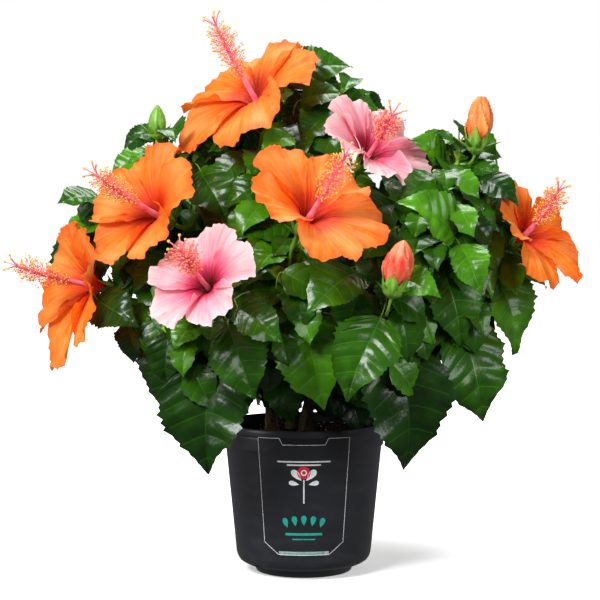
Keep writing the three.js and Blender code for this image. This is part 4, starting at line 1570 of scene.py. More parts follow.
def in_front_of_bloom(leaf: Leaf) -> bool:
    """Whether a leaf would stand before the face of a bloom.

    Args:
        leaf: The leaf.

    Returns:
        Whether its foot, middle or tip is there.
    """
    for bloom in BLOOMS.values():
        axis = unit(np.array(bloom.face))
        for spot in (leaf.foot, (leaf.foot + leaf.tip) / 2, leaf.tip):
            away = spot - np.array(bloom.throat, float)
            ahead = float(np.dot(away, axis))
            beside = float(np.linalg.norm(away - ahead * axis))
            if -4 < ahead < 120 and beside < bloom.kind.value.petal * bloom.size * 0.85:
                return True
    return False


# ---- blooms and buds ----
BRACTS = 7
BRACT_LOOK = 1  # the bracts' finish stands second in each green piece


def bracts(pile: Pile, root: Array, axis: Array, radius: float, length: float, spread_by: float) -> None:
    """Adds the narrow green bracts under a calyx.

    Args:
        pile: The piece being gathered.
        root: Centre of their ring.
        axis: Way that the bloom or bud points.
        radius: Radius of their ring.
        length: Their length.
        spread_by: How far they lean out.
    """
    high = upright(axis)
    beside = np.cross(axis, high)
    widths = np.array([1.6, 2.7, 3.0, 2.4, 1.4, 0.3]) * length / 15
    for number in range(BRACTS):
        angle = TURN * number / BRACTS + 0.4
        out = high * math.cos(angle) + beside * math.sin(angle)
        start = root + out * radius * 0.8
        bent = 1 + 0.25 * math.sin(2.4 * number)
        middle = start + (axis * 0.55 + out * 0.45 * spread_by) * length * 0.6
        end = start + (axis * 0.75 + out * 0.75 * spread_by * bent) * length
        pile.tube(Arc(start, middle, end).at(spread(5)), widths, 8, BRACT_LOOK, out, 0.35)


@dataclass
class Bloom:
    """An open bloom: five overlapping petals, the column with its brush, the calyx and the stalk."""

    name: str
    plan: BloomPlan
    wood: Wood
    rows: int = 36
    columns: int = 44
    lobes: int = 5
    overlap: float = 1.34
    foot_radius: float = 2.5
    curl: float = 18.0
    lift: float = 2.0
    sag: float = 2.0
    styles: int = 5
    stalk_radii: tuple[float, float] = (1.5, 2.3)
    stalk_bark: tuple[int, float, float] = (10, 2.5, 19)

    def __post_init__(self) -> None:
        """Works out the bloom's frame and the centre line of its petals."""
        self.kind = self.plan.kind.value
        self.dice = Dice(list(BLOOMS).index(self.name) + 401)
        self.phases = self.dice.many(0, TURN, 7)
        self.axis = unit(np.array(self.plan.face))
        self.high = square(UP, self.axis)
        self.across = np.cross(self.axis, self.high)
        self.receptacle = np.array(self.plan.throat) - self.axis * self.kind.receptacle * self.plan.size
        self.length = self.kind.petal * self.plan.size
        self.reaches = spread(120) * 1.06
        middles = (np.arange(16)[:, None] + 0.5) / 16
        leans = self.lean(middles * self.reaches)
        self.radii = self.foot_radius + np.sin(leans).sum(axis=0) * self.reaches * self.length / 16
        self.heights = np.cos(leans).sum(axis=0) * self.reaches * self.length / 16

    def lean(self, share: float | Array) -> float | Array:
        """Lean of a petal from the bloom's axis, in radians, at a share of its length."""
        degrees = mix(self.kind.funnel, self.plan.opening, smooth(0, 1, 2 * share)) + self.curl * share**3
        return np.radians(degrees)

    def surface(self, reach: Array, turn: Array, lifted: Array) -> Array:
        """Points of the corolla.

        Args:
            reach: Share of the petal's length.
            turn: Turn about the axis (radians).
            lifted: How far the point rises towards the axis.

        Returns:
            The points.
        """
        angle = turn + math.radians(self.plan.turn)
        out = self.high * np.cos(angle)[..., None] + self.across * np.sin(angle)[..., None]
        radius = np.interp(reach, self.reaches, self.radii)
        height = np.interp(reach, self.reaches, self.heights)
        lean = self.lean(reach)
        inward = -out * np.cos(lean)[..., None] + self.axis * np.sin(lean)[..., None]
        sag = self.plan.hang * (0.5 - 0.5 * out[..., 2]) * np.maximum(reach, 0) ** 2.4
        point = self.receptacle + out * radius[..., None] + self.axis * height[..., None]
        return point + inward * lifted[..., None] - UP * sag[..., None]

    def petal(self, pile: Pile, number: int) -> None:
        """Adds one petal with its ruffles, pleats and crimped margin.

        Args:
            pile: The piece being gathered.
            number: Which of the five.
        """
        share = spread(self.rows)[:, None]
        beside = np.linspace(-1, 1, self.columns)[None]
        shape = (self.rows + 1, self.columns)
        wide = mix(1.06, self.overlap, smooth(0.05, 0.5, share))
        turn = TURN * number / self.lobes + beside * math.pi / self.lobes * wide
        phases = self.phases
        crimp = 0.01 * np.sin(9 * turn + phases[0])
        crimp = crimp + 0.007 * np.sin(25 * turn + 1.3 * np.sin(6 * turn) + phases[1])
        crimp = crimp + 0.006 * np.sin(57 * turn + 1.5 * np.sin(11 * turn) + phases[2]) * share**4
        edge = 1 - 0.46 * np.abs(beside) ** 3.2 + crimp - 0.04 * self.dice.between(0, 1)
        reach = share * mix(1, edge, smooth(0.2, 1, share))
        ruffle = self.kind.ruffle * self.plan.size
        lifted = 0.8 * ruffle * share**3 * np.sin(2 * self.lobes * turn + 1)
        lifted = lifted + ruffle * share**2 * 0.8 * np.sin(7 * turn + phases[3])
        waves = 0.5 * np.sin(16 * turn + phases[4]) + 0.3 * np.sin(27 * turn + phases[5])
        lifted = lifted + ruffle * share**3 * waves
        frill = np.sin(45 * turn + 1.6 * np.sin(7 * turn + phases[2]) + 5 * share + phases[6])
        lifted = lifted + 0.34 * ruffle * share**5 * frill
        lifted = lifted + self.dice.between(-0.05, 0.08) * self.length * share**2
        lifted = lifted + 0.07 * self.length * beside**2 * share**1.5
        lifted = lifted + 0.35 * np.sin(38 * turn) * smooth(0.1, 0.4, share) * smooth(1, 0.7, share)
        lifted = lifted + self.lift * beside * mix(0.3, 1, share)
        full = np.ones(shape)
        place = np.stack([reach, beside + 2.3 * number * full, share * full], axis=-1)
        strip = (number + 0.03 + 0.47 * (beside + 1)) / self.lobes
        chart = np.stack([strip * full, 0.02 + 0.96 * share * full], axis=-1)
        faces = net(self.rows + 1, self.columns)[:, ::-1]
        pile.add(self.surface(reach, turn, lifted), faces, 0, place, chart)

    def column(self, pile: Pile) -> None:
        """Adds the column with its ridges, its brush and its styles.

        Args:
            pile: The piece being gathered.
        """
        length = self.kind.column * self.plan.column
        start = self.receptacle
        middle = start + self.axis * 0.5 * length - self.sag * UP
        arc = Arc(start, middle, start + self.axis * length + self.plan.rise * UP)
        shares = spread(28)
        widths = np.interp(shares, [0, 0.25, 0.8, 1], [1.55, 1.25, 0.95, 0.55]) * self.kind.column_radius
        ridges = 1 + 0.05 * np.cos(5 * TURN * np.arange(12) / 12)[None] + 0.04 * np.sin(40 * shares)[:, None]
        pile.tube(arc.at(shares), widths[:, None] * ridges, 12, 0)
        self.brush(pile, arc)
        self.style_tips(pile, arc)

    def brush(self, pile: Pile, arc: Arc) -> None:
        """Adds the filaments with their anthers.

        Args:
            pile: The piece being gathered.
            arc: Centre line of the column.
        """
        dice = self.dice
        for number in range(self.kind.filaments):
            at = mix(self.kind.brush_foot, 0.965, ((number + 0.5) / self.kind.filaments) ** 0.85)
            onward = arc.heading(at)
            level = upright(onward)
            angle = number * GOLDEN + dice.between(-0.3, 0.3)
            out = level * math.cos(angle) + np.cross(onward, level) * math.sin(angle)
            swell = mix(0.45, 1, smooth(0, 0.26, at - self.kind.brush_foot))
            swell = swell * mix(1, 0.6, smooth(0.85, 0.97, at))
            reach = self.kind.brush * self.plan.size**0.5 * dice.between(1.0, 2.5) * swell
            foot = arc.at(at)
            end = foot + out * reach + onward * reach * dice.between(0.1, 0.75)
            thread = Arc(foot, foot + out * reach * 0.55 + onward * reach * 0.05, end)
            pile.tube(thread.at(spread(3)), np.array([0.36, 0.28, 0.25, 0.25]), 3, 0)
            self.grain(pile, end, unit(out + onward), dice.between(0.75, 1.15), 1)

    def style_tips(self, pile: Pile, arc: Arc) -> None:
        """Adds the styles, which fan out past the column's end.

        Args:
            pile: The piece being gathered.
            arc: Centre line of the column.
        """
        onward = arc.heading(1)
        level = square(SIDEWAYS, onward)
        reach = self.kind.brush * 2.1 * self.plan.size**0.5
        for number in range(self.styles):
            angle = TURN * number / self.styles
            out = level * math.cos(angle) + np.cross(onward, level) * math.sin(angle)
            bend = arc.end + onward * reach * 0.4 + out * reach * 0.2
            style = Arc(arc.at(0.97), bend, arc.end + (onward + out * 0.85) * reach * 0.8)
            pile.tube(style.at(spread(5)), mix(0.8, 0.55, spread(5)), 6, 0)
            self.grain(pile, style.end, unit(out + onward), 1.6, 2)

    @staticmethod
    def grain(pile: Pile, centre: Array, axis: Array, radius: float, look: int) -> None:
        """Adds an anther or a stigma pad: a small round body."""
        run = np.array([-1, -0.4, 0.4, 1])[:, None]
        pile.tube(centre + axis * run * radius, radius * np.array([0.3, 1, 1, 0.3]), 5, look)

    def calyx(self, pile: Pile) -> None:
        """Adds the cup of the calyx with its five teeth, the bracts and the stalk.

        Args:
            pile: The piece being gathered.
        """
        size, columns, rows = self.plan.size, 60, 16
        around = np.arange(columns) / columns
        tooth = 1 - np.abs(2 * np.mod(5 * around, 1) - 1)
        top = 5 + 16 * tooth**1.15
        run = spread(rows)[:, None]
        height = mix(-10, top[None], run)
        widths = np.interp(height, [-10, -8.5, -5, 1, 10, 22], [2.2, 4.4, 7.0, 8.3, 8.9, 10.4])
        widths = widths * (1 + 0.035 * np.cos(10 * math.pi * around)[None] + 0.03 * tooth[None] * run**3)
        widths = widths * self.kind.calyx / 8.5
        angle = TURN * (around + 0.1 + self.plan.turn / 360)[None, :, None]
        out = self.high * np.cos(angle) + self.across * np.sin(angle)
        points = self.receptacle + out * widths[..., None] * size + self.axis * height[..., None] * size
        full = np.ones(height.shape)
        place = np.stack([run * full, around[None] * full, height * 0], axis=-1)
        pile.add(points, net(rows + 1, columns, closed=True), 0, place)
        foot = self.receptacle - self.axis * 8.5 * size
        bracts(pile, foot, self.axis, 4.5 * size, 15 * size, 1.5)
        start = self.wood.limbs["shoot_" + self.plan.on].arc.at(self.plan.at)
        end = self.receptacle - 8 * size * self.axis
        arc = Arc(start, end - self.axis * 0.45 * np.linalg.norm(end - start), end)
        Limb(arc, *self.stalk_radii).bark(pile, *self.stalk_bark)

    def build(self) -> None:
        """Makes the piece of petals, the piece of the column and the green piece."""
        petals, column, green = Pile(), Pile(), Pile()
        for number in range(self.lobes):
            self.petal(petals, number)
        self.column(column)
        self.calyx(green)
        slot = self.kind.slot
        petals.build("petals_" + self.name, (self.kind.petal_finish,), slot, (self.name,), 80)
        finishes = (self.kind.column_finish, self.kind.anther_finish, STIGMA)
        column.build("column_" + self.name, finishes, slot, (self.name,))
        green.build("calyx_" + self.name, (CALYX_FLESH, BRACT_FLESH), "green_bud", (self.name,))


@dataclass
class Bud:
    """A closed bud on its stalk, green or showing its furled petals."""

    name: str
    plan: BudPlan
    wood: Wood
    stalk_radii: tuple[float, float] = (1.3, 1.5)
    stalk_bark: tuple[int, float, float] = (8, 2.5, 15)

    def __post_init__(self) -> None:
        """Works out the bud's axis."""
        self.foot, self.tip = np.array(self.plan.foot, float), np.array(self.plan.tip, float)
        self.axis = unit(self.tip - self.foot)
        self.base = self.foot - self.axis * 0.6 * self.plan.radius
        self.length = float(np.linalg.norm(self.tip - self.base))

    def body(
        self,
        pile: Pile,
        spots: Sequence[float],
        widths: Sequence[float],
        ribs: Callable[[Array, Array], Array],
        look: int,
    ) -> None:
        """Adds a round body along the bud's axis.

        Args:
            pile: The piece being gathered.
            spots: Shares of the length where widths are stated.
            widths: Widths there against the bud's radius.
            ribs: Extra width by share and angle.
            look: Number of its finish.
        """
        shares = mix(spots[0], spots[-1], spread(26))
        around = TURN * np.arange(60) / 60
        radii = np.interp(shares, spots, widths)[:, None] * self.plan.radius
        radii = radii * (1 + ribs(shares[:, None], around[None]))
        line = self.base + self.axis * shares[:, None] * self.length
        pile.tube(line, radii, 60, look, UP + 0.4 * SIDEWAYS)

    def build(self, replaced: str | None) -> None:
        """Makes the bud's piece.

        Args:
            replaced: The solid that it stands for, if it has one.
        """
        pile = Pile()
        self.stalk(pile)
        green, opening = self.plan.stage is Stage.GREEN, self.plan.stage is Stage.OPENING
        if green:
            spots, widths = (0, 0.08, 0.25, 0.5, 0.7, 0.87, 1), (0.3, 0.8, 1.05, 1.08, 0.9, 0.52, 0.08)
            self.body(pile, spots, widths, self.sepals, 0)
            root = self.base + self.axis * 0.08 * self.length
            bracts(pile, root, self.axis, self.plan.radius * 0.75, self.length * 0.45, 0.8)
        else:
            tops = (0.62, 0.95, 1.0, 0.86, 0.62, 0.3) if opening else (0.6, 0.98, 1.05, 0.88, 0.55, 0.12)
            self.body(pile, (0.18, 0.38, 0.55, 0.75, 0.9, 1), tops, self.furl, 2)
            self.cup(pile)
            root = self.base + self.axis * 0.07 * self.length
            share, lean = (0.27, 1.5) if opening else (0.22, 1.1)
            bracts(pile, root, self.axis, self.plan.radius * 0.55, self.length * share, lean)
        finishes = (GREEN_BUD, BRACT_FLESH, ORANGE_BUD if opening else CORAL_BUD)
        nodes = (replaced,) if replaced else ()
        pile.build(self.name, finishes, "green_bud" if green else "red_bud", nodes, 60)

    @staticmethod
    def sepals(_: Array, around: Array) -> Array:
        """Extra width over the ribs of a green bud."""
        return 0.07 * np.abs(np.cos(2.5 * around)) - 0.03

    @staticmethod
    def furl(share: Array, around: Array) -> Array:
        """Extra width where the edges of the furled petals wind round the bud.

        Args:
            share: Shares of the bud's length.
            around: Angles about its axis.

        Returns:
            The extra width against the bud's radius.
        """
        wound = np.mod(5 * around / TURN + 1.5 * share, 1)
        crinkle = 0.035 * np.sin(11 * around + 12 * share) + 0.02 * np.sin(23 * around - 19 * share)
        return (0.32 * wound**1.6 + crinkle) * smooth(0.15, 0.45, share) - 0.06

    def cup(self, pile: Pile) -> None:
        """Adds the green calyx with its five pointed teeth.

        Args:
            pile: The piece being gathered.
        """
        columns, rows = 50, 14
        around = np.arange(columns) / columns
        tooth = 1 - np.abs(2 * np.mod(5 * around, 1) - 1)
        run = spread(rows)[:, None]
        share = mix(0, (0.24 + 0.26 * tooth**1.2)[None], run)
        spots, wide = (0, 0.06, 0.16, 0.3, 0.45, 0.6), (0.25, 0.7, 0.92, 1.02, 1.08, 1.12)
        widths = np.interp(share, spots, wide) * self.plan.radius
        high = upright(self.axis)
        angle = TURN * around[None, :, None]
        out = high * np.cos(angle) + np.cross(self.axis, high) * np.sin(angle)
        points = self.base + out * widths[..., None] + self.axis * (share * self.length)[..., None]
        full = np.ones(share.shape)
        place = np.stack([run * full, around[None] * full, share * 0], axis=-1)
        pile.add(points, net(rows + 1, columns, closed=True), 0, place)

    def stalk(self, pile: Pile) -> None:
        """Adds the stalk from the shoot to the bud.

        Args:
            pile: The piece being gathered.
        """
        start = self.wood.limbs["shoot_" + self.plan.on].arc.at(self.plan.at)
        end = self.base + self.axis * 0.5
        arc = Arc(start, end - self.axis * 0.45 * np.linalg.norm(end - start), end)
        Limb(arc, *self.stalk_radii).bark(pile, *self.stalk_bark)


# ---- pot ----
def rounded(profile: Sequence[tuple[float, float, float]], steps: int = 4) -> Array:
    """Outline with its corners rounded.

    Args:
        profile: Radius, height and rounding of each corner.
        steps: Runs in which a corner is turned.

    Returns:
        Points of radius and height.
    """
    spots = np.array([corner[:2] for corner in profile], float)
    outline = [spots[0]]
    for place in range(1, len(spots) - 1):
        before, here, after = spots[place - 1], spots[place], spots[place + 1]
        shortest = min(np.linalg.norm(here - before), np.linalg.norm(after - here))
        reach = min(profile[place][2], 0.45 * shortest)
        first, last = here + unit(before - here) * reach, here + unit(after - here) * reach
        times = spread(steps)[:, None]
        outline += list((1 - times) ** 2 * first + 2 * times * (1 - times) * here + times**2 * last)
    return np.array([*outline, spots[-1]])


@dataclass
class Pot:
    """The nursery pot: a moulded shell with a rim, a collar, a stepped foot and drainage notches."""

    columns: int = 216
    notches: tuple[float, ...] = (-18, 102, 222)
    notch_half: float = 5.0
    notch_top: float = 12.4
    notch_inner: float = 60.5

    def outline(self) -> Array:
        """Profile from the middle of the underside, up the outside and down the inside.

        Returns:
            Points of radius and height.
        """
        outside = [
            (0, 0, 0), (38, 0, 0.5), (39, 1, 0.5), (46, 1, 0.5), (47, 0, 0.5), (51, 0, 1.6), (54, 9, 1.2),
            (62, 9, 1), (69, 12.6, 4), (72, 19, 5), (76.2, 61, 2), (80, 99, 2), (83.6, 135, 0.8),
            (85.5, 136.4, 0.9), (86.4, 150.2, 0.6), (85.9, 151.2, 0.5), (86.8, 152.3, 0.9), (87, 157.6, 1.8),
            (86, 160, 1.6),
        ]
        inside = [
            (84.4, 160, 0.8), (83.6, 157, 1), (81.8, 135, 1), (70.2, 19, 4), (62, 12.6, 2), (49.2, 10.8, 1),
            (49.2, 3.6, 1), (0, 3.6, 0),
        ]
        return rounded([*outside, *inside])

    def build(self) -> None:
        """Makes the pot's piece."""
        outline = self.outline()[1:-1]
        angles = np.arange(self.columns) * TURN / self.columns
        ends = [notch + side * self.notch_half for notch in self.notches for side in (-1, 1)]
        edges = [math.radians(end + gap) for end in ends for gap in (-0.1, 0.1)]
        angles = np.unique(np.concatenate([angles, np.mod(edges, TURN)]))
        radius, height = outline[:, 0, None], outline[:, 1, None]
        wall = np.arange(len(outline))[:, None] < int(np.argmax(outline[:, 1]))
        cut = np.zeros(len(angles), bool)
        for notch in self.notches:
            away = np.mod(angles - math.radians(notch) + math.pi, TURN) - math.pi
            cut |= np.abs(away) < math.radians(self.notch_half)
        raised = cut[None] & wall & (radius > self.notch_inner) & (height < self.notch_top)
        heights = np.where(raised, self.notch_top, height)
        points = np.stack([radius * np.cos(angles), radius * np.sin(angles), heights], axis=-1)
        pile = Pile()
        pile.add(points, net(len(outline), len(angles), closed=True), 0)
        faces = fan(len(angles))
        for row in (0, len(outline) - 1):
            centre = np.array([[0, 0, outline[row, 1]]])
            pile.add(np.concatenate([points[row], centre]), faces if row else faces[:, ::-1])
        pile.build("pot_shell", (POT_PLASTIC,), "plastic", ("pot",), 35)


class Ink(IntEnum):
    """What the panel is made of and printed with, as places in its finishes."""

    PLATE = 0
    WHITE = 1
    TEAL = 2
    TAB = 3
    SILVER = 4
    RED = 5


@dataclass
class Panel:
    """The pot's printed panel: a flush plate, a fine frame line and plain generic marks."""

    half_angle: float = 33.4
    foot_half_angle: float = 21.0
    top: float = 152.5
    bottom: float = 28.0
    shoulder: float = 41.0
    slope: tuple[float, float] = (73.3, 87.0)

    def radius(self, height: float) -> float:
        """Outer radius of the pot's wall, or of the plate where that stands out further."""
        wall = np.interp(height, [19, 135, 136.4, 150, 157], [72, 83.6, 85.5, 86.4, 87])
        return float(max(wall, np.interp(height, [self.bottom, self.top], self.slope)))

    def spot(self, across: float, height: float, proud: float) -> Array:
        """Point of the panel.

        Args:
            across: Angle from the middle of the front (degrees).
            height: Height above the underside.
            proud: How far it stands off the plate's ground.

        Returns:
            The point.
        """
        angle, radius = math.radians(across), self.radius(height) + proud
        return np.array([radius * math.sin(angle), -radius * math.cos(angle), height])

    def plate(self, pile: Pile) -> None:
        """Adds the plate with its chamfered lower corners.

        Args:
            pile: The piece being gathered.
        """
        columns = np.linspace(-self.half_angle, self.half_angle, 49)
        columns = np.concatenate([columns[:1], columns, columns[-1:]])
        rows = np.concatenate([[0], spread(40), [1]])
        points = []
        for row, share in enumerate(rows):
            for column, angle in enumerate(columns):
                past = max(0.0, abs(angle) - self.foot_half_angle) / (self.half_angle - self.foot_half_angle)
                low = mix(self.bottom, self.shoulder, past)
                rim = row in (0, len(rows) - 1) or column in (0, len(columns) - 1)
                points.append(self.spot(angle, mix(low, self.top, share), -0.8 if rim else 0.15))
        pile.add(np.array(points), net(len(rows), len(columns)), 0)

    def line(
        self, pile: Pile, corners: Sequence[tuple[float, float]], width: float, look: Ink, proud: float = 0.42
    ) -> None:
        """Adds a printed line.

        Args:
            pile: The piece being gathered.
            corners: Angle and height of each corner.
            width: Width of the line.
            look: Its ink.
            proud: How far it stands off the ground.
        """
        for (first, low), (last, high) in zip(corners, corners[1:]):
            run = np.array([math.radians(last - first) * self.radius((low + high) / 2), high - low])
            steps = max(1, round(float(np.linalg.norm(run)) / 2.5))
            way = run / np.linalg.norm(run)
            turned = np.array([-way[1], way[0]]) * width / 2
            points = []
            for share in spread(steps):
                height, angle = mix(low, high, share), mix(first, last, share)
                for side in (-1, 1):
                    shift = math.degrees(side * turned[0] / self.radius(height))
                    points.append(self.spot(angle + shift, height + side * turned[1], proud))
            pile.add(np.array(points), net(steps + 1, 2)[:, ::-1], look)

    def bar(
        self, pile: Pile, height: float, half: float, width: float, look: Ink, proud: float = 0.42
    ) -> None:
        """Adds a level line of that half length (degrees), through the middle of the front."""
        self.line(pile, [(-half, height), (half, height)], width, look, proud)

    def mark(
        self, pile: Pile, centre: tuple[float, float], rim: Callable[[float], tuple[float, float]], look: Ink
    ) -> None:
        """Adds a small printed mark.

        Args:
            pile: The piece being gathered.
            centre: Its angle (degrees) and height.
            rim: Its outline across and up, in millimetres, by turn.
            look: Its ink.
        """
        count, proud = 40, 0.46
        points = [self.spot(*centre, proud)]
        for number in range(count):
            across, up = rim(TURN * number / count)
            height = centre[1] + up
            points.append(self.spot(centre[0] + math.degrees(across / self.radius(height)), height, proud))
        numbers = np.arange(count)
        faces = np.stack([np.zeros(count, int), 1 + numbers, 1 + (numbers + 1) % count], axis=1)
        pile.add(np.array(points), faces, look)

    @staticmethod
    def drop(length: float, width: float, tilt: float) -> Callable[[float], tuple[float, float]]:
        """Outline of a leaf-shaped mark.

        Args:
            length: Its length.
            width: Its width.
            tilt: Its turn from upright (degrees).

        Returns:
            The outline.
        """
        lean = math.radians(tilt)

        def rim(turn: float) -> tuple[float, float]:
            """Point of the outline.

            Args:
                turn: Turn round the outline, from its foot (radians).

            Returns:
                Its place across and up.
            """
            across = 0.5 * width * math.sin(turn) * math.sin(turn / 2) ** 1.2 * 1.25
            up = 0.5 * length * (1 - math.cos(turn))
            upward, aside = math.cos(lean), math.sin(lean)
            return across * upward - up * aside, across * aside + up * upward

        return rim

    @staticmethod
    def disc(radius: float) -> Callable[[float], tuple[float, float]]:
        """Outline of a round mark."""
        return lambda turn: (radius * math.sin(-turn), radius * math.cos(turn))

    def build(self) -> None:
        """Makes the panel's piece."""
        pile = Pile()
        self.plate(pile)
        # Frame line, the tab at its top and the strip along its foot.
        tab = [(-17, 152.4), (-14.8, 145.6), (14.8, 145.6), (17, 152.4)]
        left = [tab[0], (-33, 152.2), (-33, 41.2), (-20.8, 28.6)]
        right = [(-across, height) for across, height in reversed(left)]
        self.line(pile, [*left, *right], 0.6, Ink.WHITE)
        self.line(pile, tab, 0.5, Ink.WHITE)
        self.bar(pile, 149, 15.6, 6.2, Ink.TAB, 0.38)
        self.bar(pile, 30.6, 20.6, 3.4, Ink.SILVER)
        self.bar(pile, 30, 17, 1, Ink.TEAL, 0.47)
        # Two bars over a small flower.
        self.bar(pile, 128, 19, 1.5, Ink.WHITE)
        self.bar(pile, 124.6, 12, 1.5, Ink.WHITE)
        for side in (-1, 1):
            self.mark(pile, (1.6 * side, 108), self.drop(15, 7.6, -42 * side), Ink.WHITE)
            self.mark(pile, (3.4 * side, 104), self.drop(11, 5.4, -78 * side), Ink.WHITE)
        self.line(pile, [(0, 84), (0, 109)], 1.3, Ink.WHITE)
        for radius, look in ((6.8, Ink.RED), (3.2, Ink.WHITE), (1.9, Ink.RED)):
            self.mark(pile, (0, 116.5), self.disc(radius), look)
        # A row of drops over two bars.
        for number in (-2, -1, 0, 1, 2):
            foot = (6.4 * number, 60.5 - 0.6 * number**2)
            self.mark(pile, foot, self.drop(10.5, 6.2, -9 * number), Ink.TEAL)
        self.bar(pile, 51, 14.5, 2.6, Ink.TEAL)
        self.bar(pile, 45.6, 9, 1.3, Ink.TEAL)
        inks = (PANEL_PLASTIC, WHITE_INK, TEAL_INK, TAB_PLASTIC, SILVER_INK, RED_INK)
        pile.build("pot_panel", inks, "plastic", ("pot",), 35)


@dataclass
class PottingMix:
    """The potting mix: a crumbly surface with bark crumbs and white mineral grains."""

    radius: float = 82.6
    crumbs: int = 900
    grains: int = 85

    def build(self) -> None:
        """Makes the mix's piece."""
        pile = Pile()
        rows, columns = 44, 110
        share = spread(rows)[:, None]
        angle = TURN * np.arange(columns) / columns
        reach = np.concatenate([share[:-1], [[1.0]], [[1.0]]]) * self.radius
        x, y = reach * np.cos(angle), reach * np.sin(angle)
        rough = np.sin(0.31 * x + 1.1) * np.sin(0.27 * y) + 0.6 * np.sin(0.83 * x + 0.4 * y)
        rough = rough + 0.4 * np.sin(1.7 * y - 0.9 * x)
        height = SOIL_LEVEL - 0.6 + 0.55 * rough - 1.2 * smooth(0.85, 1, reach / self.radius)
        height[-1] = SOIL_LEVEL - 12
        points = np.stack([x, y, height], axis=-1)
        pile.add(points[1:], net(rows + 1, columns, closed=True), 0)
        middle = np.array([[0, 0, SOIL_LEVEL - 0.6]])
        pile.add(np.concatenate([points[1], middle]), fan(columns)[:, ::-1], 0)
        draw = np.random.default_rng(11)
        self.scatter(pile, draw, self.crumbs, (1.0, 3.4), 1)
        self.scatter(pile, draw, self.grains, (1.2, 2.4), 2)
        pile.build("potting_crumbs", (SOIL, CRUMB, WHITE_GRAIN), "mix", ("potting_mix",), 30)

    def scatter(
        self, pile: Pile, draw: np.random.Generator, count: int, sizes: tuple[float, float], look: int
    ) -> None:
        """Scatters rough grains over the mix.

        Args:
            pile: The piece being gathered.
            draw: Seeded numbers.
            count: How many grains.
            sizes: Least and greatest radius.
            look: Number of their finish.
        """
        for _ in range(count):
            reach, angle = (self.radius - 3) * math.sqrt(draw.random()), TURN * draw.random()
            size = sizes[0] + (sizes[1] - sizes[0]) * draw.random() ** 2.5
            stretch = size * (0.6 + 0.7 * draw.random(3)) * np.array([1, 1, 0.7])
            centre = np.array([reach * math.cos(angle), reach * math.sin(angle), SOIL_LEVEL - 0.4])
            points = centre + BALL_POINTS * stretch * (0.8 + 0.4 * draw.random((12, 1)))
            pile.add(points, BALL_FACES, look)


def ball() -> tuple[Array, Array]:
    """Twenty-sided ball that the grains start from.

    Returns:
        Its points and its faces.
    """
    golden = (1 + 5**0.5) / 2
    flat = [[a, b * golden, 0] for a in (-1, 1) for b in (-1, 1)]
    points = unit(np.array([[p[(k + s) % 3] for k in range(3)] for s in range(3) for p in flat], float))
    near = np.linalg.norm(points[:, None] - points[None], axis=2) < 1.1
    faces = []
    for a, b, c in combinations(range(12), 3):
        if near[a, b] and near[b, c] and near[a, c]:
            outward = np.dot(np.cross(points[b] - points[a], points[c] - points[a]), points[a]) > 0
            faces.append([a, b, c] if outward else [a, c, b])
    return points, np.array(faces)


BALL_POINTS, BALL_FACES = ball()
POT_PLASTIC = PlasticFinish("pot_plastic", "#232429", "#393a40", 0.36, 0.06)
PANEL_PLASTIC = PlasticFinish("panel_plastic", "#1f2025", "#303138", 0.34, 0.03)
TAB_PLASTIC = PlasticFinish("tab_plastic", "#0c0d12", "#191a20", 0.25, 0.03)
WHITE_INK = PrintFinish("ink_white", "#f2f2f2", "#c9c9cc")
TEAL_INK = PrintFinish("ink_teal", "#1fa996", "#23897c")
RED_INK = PrintFinish("ink_red", "#d8283a", "#b02838")
SILVER_INK = PrintFinish("ink_silver", "#dfe8ea", "#8fb4b4", 0.6)
SOIL = GritFinish("soil", "#0d0906", "#2a1d12", 420)
CRUMB = GritFinish("soil_crumb", "#140d08", "#4a3420", 500)
WHITE_GRAIN = GritFinish("white_grain", "#cfcabb", "#f4f1e8", 700, 0.8)


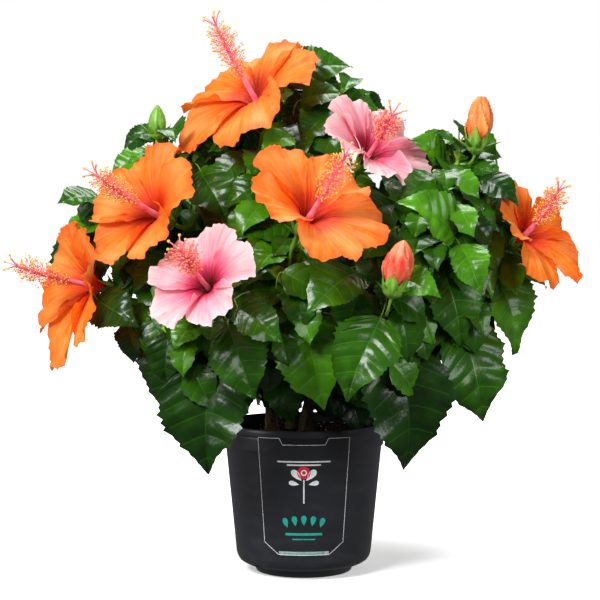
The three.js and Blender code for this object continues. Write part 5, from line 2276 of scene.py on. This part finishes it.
# ---- studio ----
@dataclass
class Studio:
    """Floor, light and camera."""

    camera_place: Triple = (-4, -2100, 420)
    pitch: float = 3.5335
    lens: float = 118.0
    sensor: float = 36.0
    floor_half: float = 9.0
    floor_level: float = -0.0004
    ambient: float = 0.17
    aim: Triple = (0, 0, 0.3)
    lamps: tuple[tuple[str, Triple, float, float], ...] = (
        ("key", (-1.1, -1.6, 1.7), 0.8, 65),
        ("fill", (1.6, -1.5, 0.9), 1.0, 24),
        ("top", (0.1, 0.5, 1.9), 0.9, 30),
        ("side", (-1.7, -0.7, 0.5), 0.8, 9),
    )

    def floor(self) -> None:
        """Makes the plain pale floor, which glows as painted light: dim near the pot and brighter further
        out.
        """
        mesh = bpy.data.meshes.new("floor")
        half, low = self.floor_half, self.floor_level
        corners = [(-half, -half, low), (half, -half, low), (half, half, low), (-half, half, low)]
        mesh.from_pydata(corners, [], [(0, 1, 2, 3)])
        graph = Graph("floor_paper")
        shade = graph.ramp(graph.noise(3, 2), ((0.0, "#f6f6f6"), (1.0, "#fbfbfb")))
        away = graph.add("VectorMath", {0: graph.spots()}, operation="LENGTH").outputs["Value"]
        # Painted light: the floor glows more the further it lies from the pot, so it shows white while the
        # shade near the pot stays.
        glow = graph.sum(graph.sum(graph.range(away, 0.15, 0.9), 0.75, "MULTIPLY"), 0.4)
        sockets = {"Base Color": shade, "Roughness": 0.9, "Emission Color": WHITE, "Emission Strength": glow}
        mesh.materials.append(graph.finish(sockets))
        plane = show("floor", mesh)
        plane.visible_diffuse = plane.visible_glossy = False

    def light(self, name: str, place: Triple, size: float, power: float) -> None:
        """Adds a soft light that looks at the middle of the crown.

        Args:
            name: Its name.
            place: Where it hangs, in metres.
            size: Side of its square, in metres.
            power: Its power in watts.
        """
        lamp = bpy.data.lights.new(name, "AREA")
        lamp.size, lamp.energy = size, power
        thing = show(name, lamp)
        thing.location = place
        thing.rotation_euler = (Vector(self.aim) - Vector(place)).to_track_quat("-Z", "Y").to_euler()

    def camera(self) -> None:
        """Sets up the camera."""
        lens = bpy.data.cameras.new("camera")
        lens.lens, lens.sensor_width = self.lens, self.sensor
        thing = show("camera", lens)
        thing.location = [value * MM for value in self.camera_place]
        thing.rotation_euler = (math.radians(90 - self.pitch), 0, 0)
        bpy.context.scene.camera = thing

    def world(self) -> None:
        """Makes the surroundings: dim for what they light, white for the camera."""
        world = bpy.data.worlds.new("studio")
        world.use_nodes = True
        tree = world.node_tree
        lit, seen = tree.nodes["Background"], tree.nodes.new("ShaderNodeBackground")
        for node, strength in ((lit, self.ambient), (seen, 1.0)):
            node.inputs[0].default_value = WHITE
            node.inputs[1].default_value = strength
        either = tree.nodes.new("ShaderNodeMixShader")
        tree.links.new(tree.nodes.new("ShaderNodeLightPath").outputs["Is Camera Ray"], either.inputs[0])
        tree.links.new(lit.outputs[0], either.inputs[1])
        tree.links.new(seen.outputs[0], either.inputs[2])
        tree.links.new(either.outputs[0], tree.nodes["World Output"].inputs["Surface"])
        bpy.context.scene.world = world

    def build(self) -> None:
        """Sets up floor, world, lights and camera."""
        bpy.context.scene.view_settings.view_transform = "Standard"
        self.world()
        self.floor()
        for lamp in self.lamps:
            self.light(*lamp)
        self.camera()


def main() -> None:
    """Builds the shrub piece by piece and reports each one."""
    logging.basicConfig(level=logging.INFO, format="%(message)s")
    Studio().build()
    Pot().build()
    Panel().build()
    PottingMix().build()
    wood = Wood()
    wood.build()
    blade = Blade()
    fine = Blade(veins=6, between=(0.5,), teeth=(0.97,), columns=(0.03, 0.27, 0.52, 0.78, 1.0))
    crowd = Crowd()
    masses = [Foliage(name, number, wood, crowd) for number, name in enumerate(MASSES)]
    for mass in masses:
        mass.grow()
        LOG.info("%s: %d leaves grown", mass.name, len(mass.leaves))
    for mass in masses:
        mass.grow_finer(fine)
        if mass.name == "inner":
            mass.grow_bare(fine, [wood.limbs[stem] for stem in STEMS], mass.low_places)
        LOG.info("%s: %d finer leaves", mass.name, len(mass.fine))
    for mass in masses:
        mass.grow_bare(fine, [wood.limbs["bough_" + mass.name]], mass.bough_places)
        LOG.info("%s: %d finer leaves with those on its bough", mass.name, len(mass.fine))
        mass.build(blade, fine)
    for name, bloom in BLOOMS.items():
        Bloom(name, bloom, wood).build()
    for name, bud in BUDS.items():
        Bud("shown_" + name, bud, wood).build(name)
    for number, bud in enumerate(SMALL_BUDS):
        Bud(f"small_bud_{number}", bud, wood).build(None)


if __name__ == "__main__":
    main()
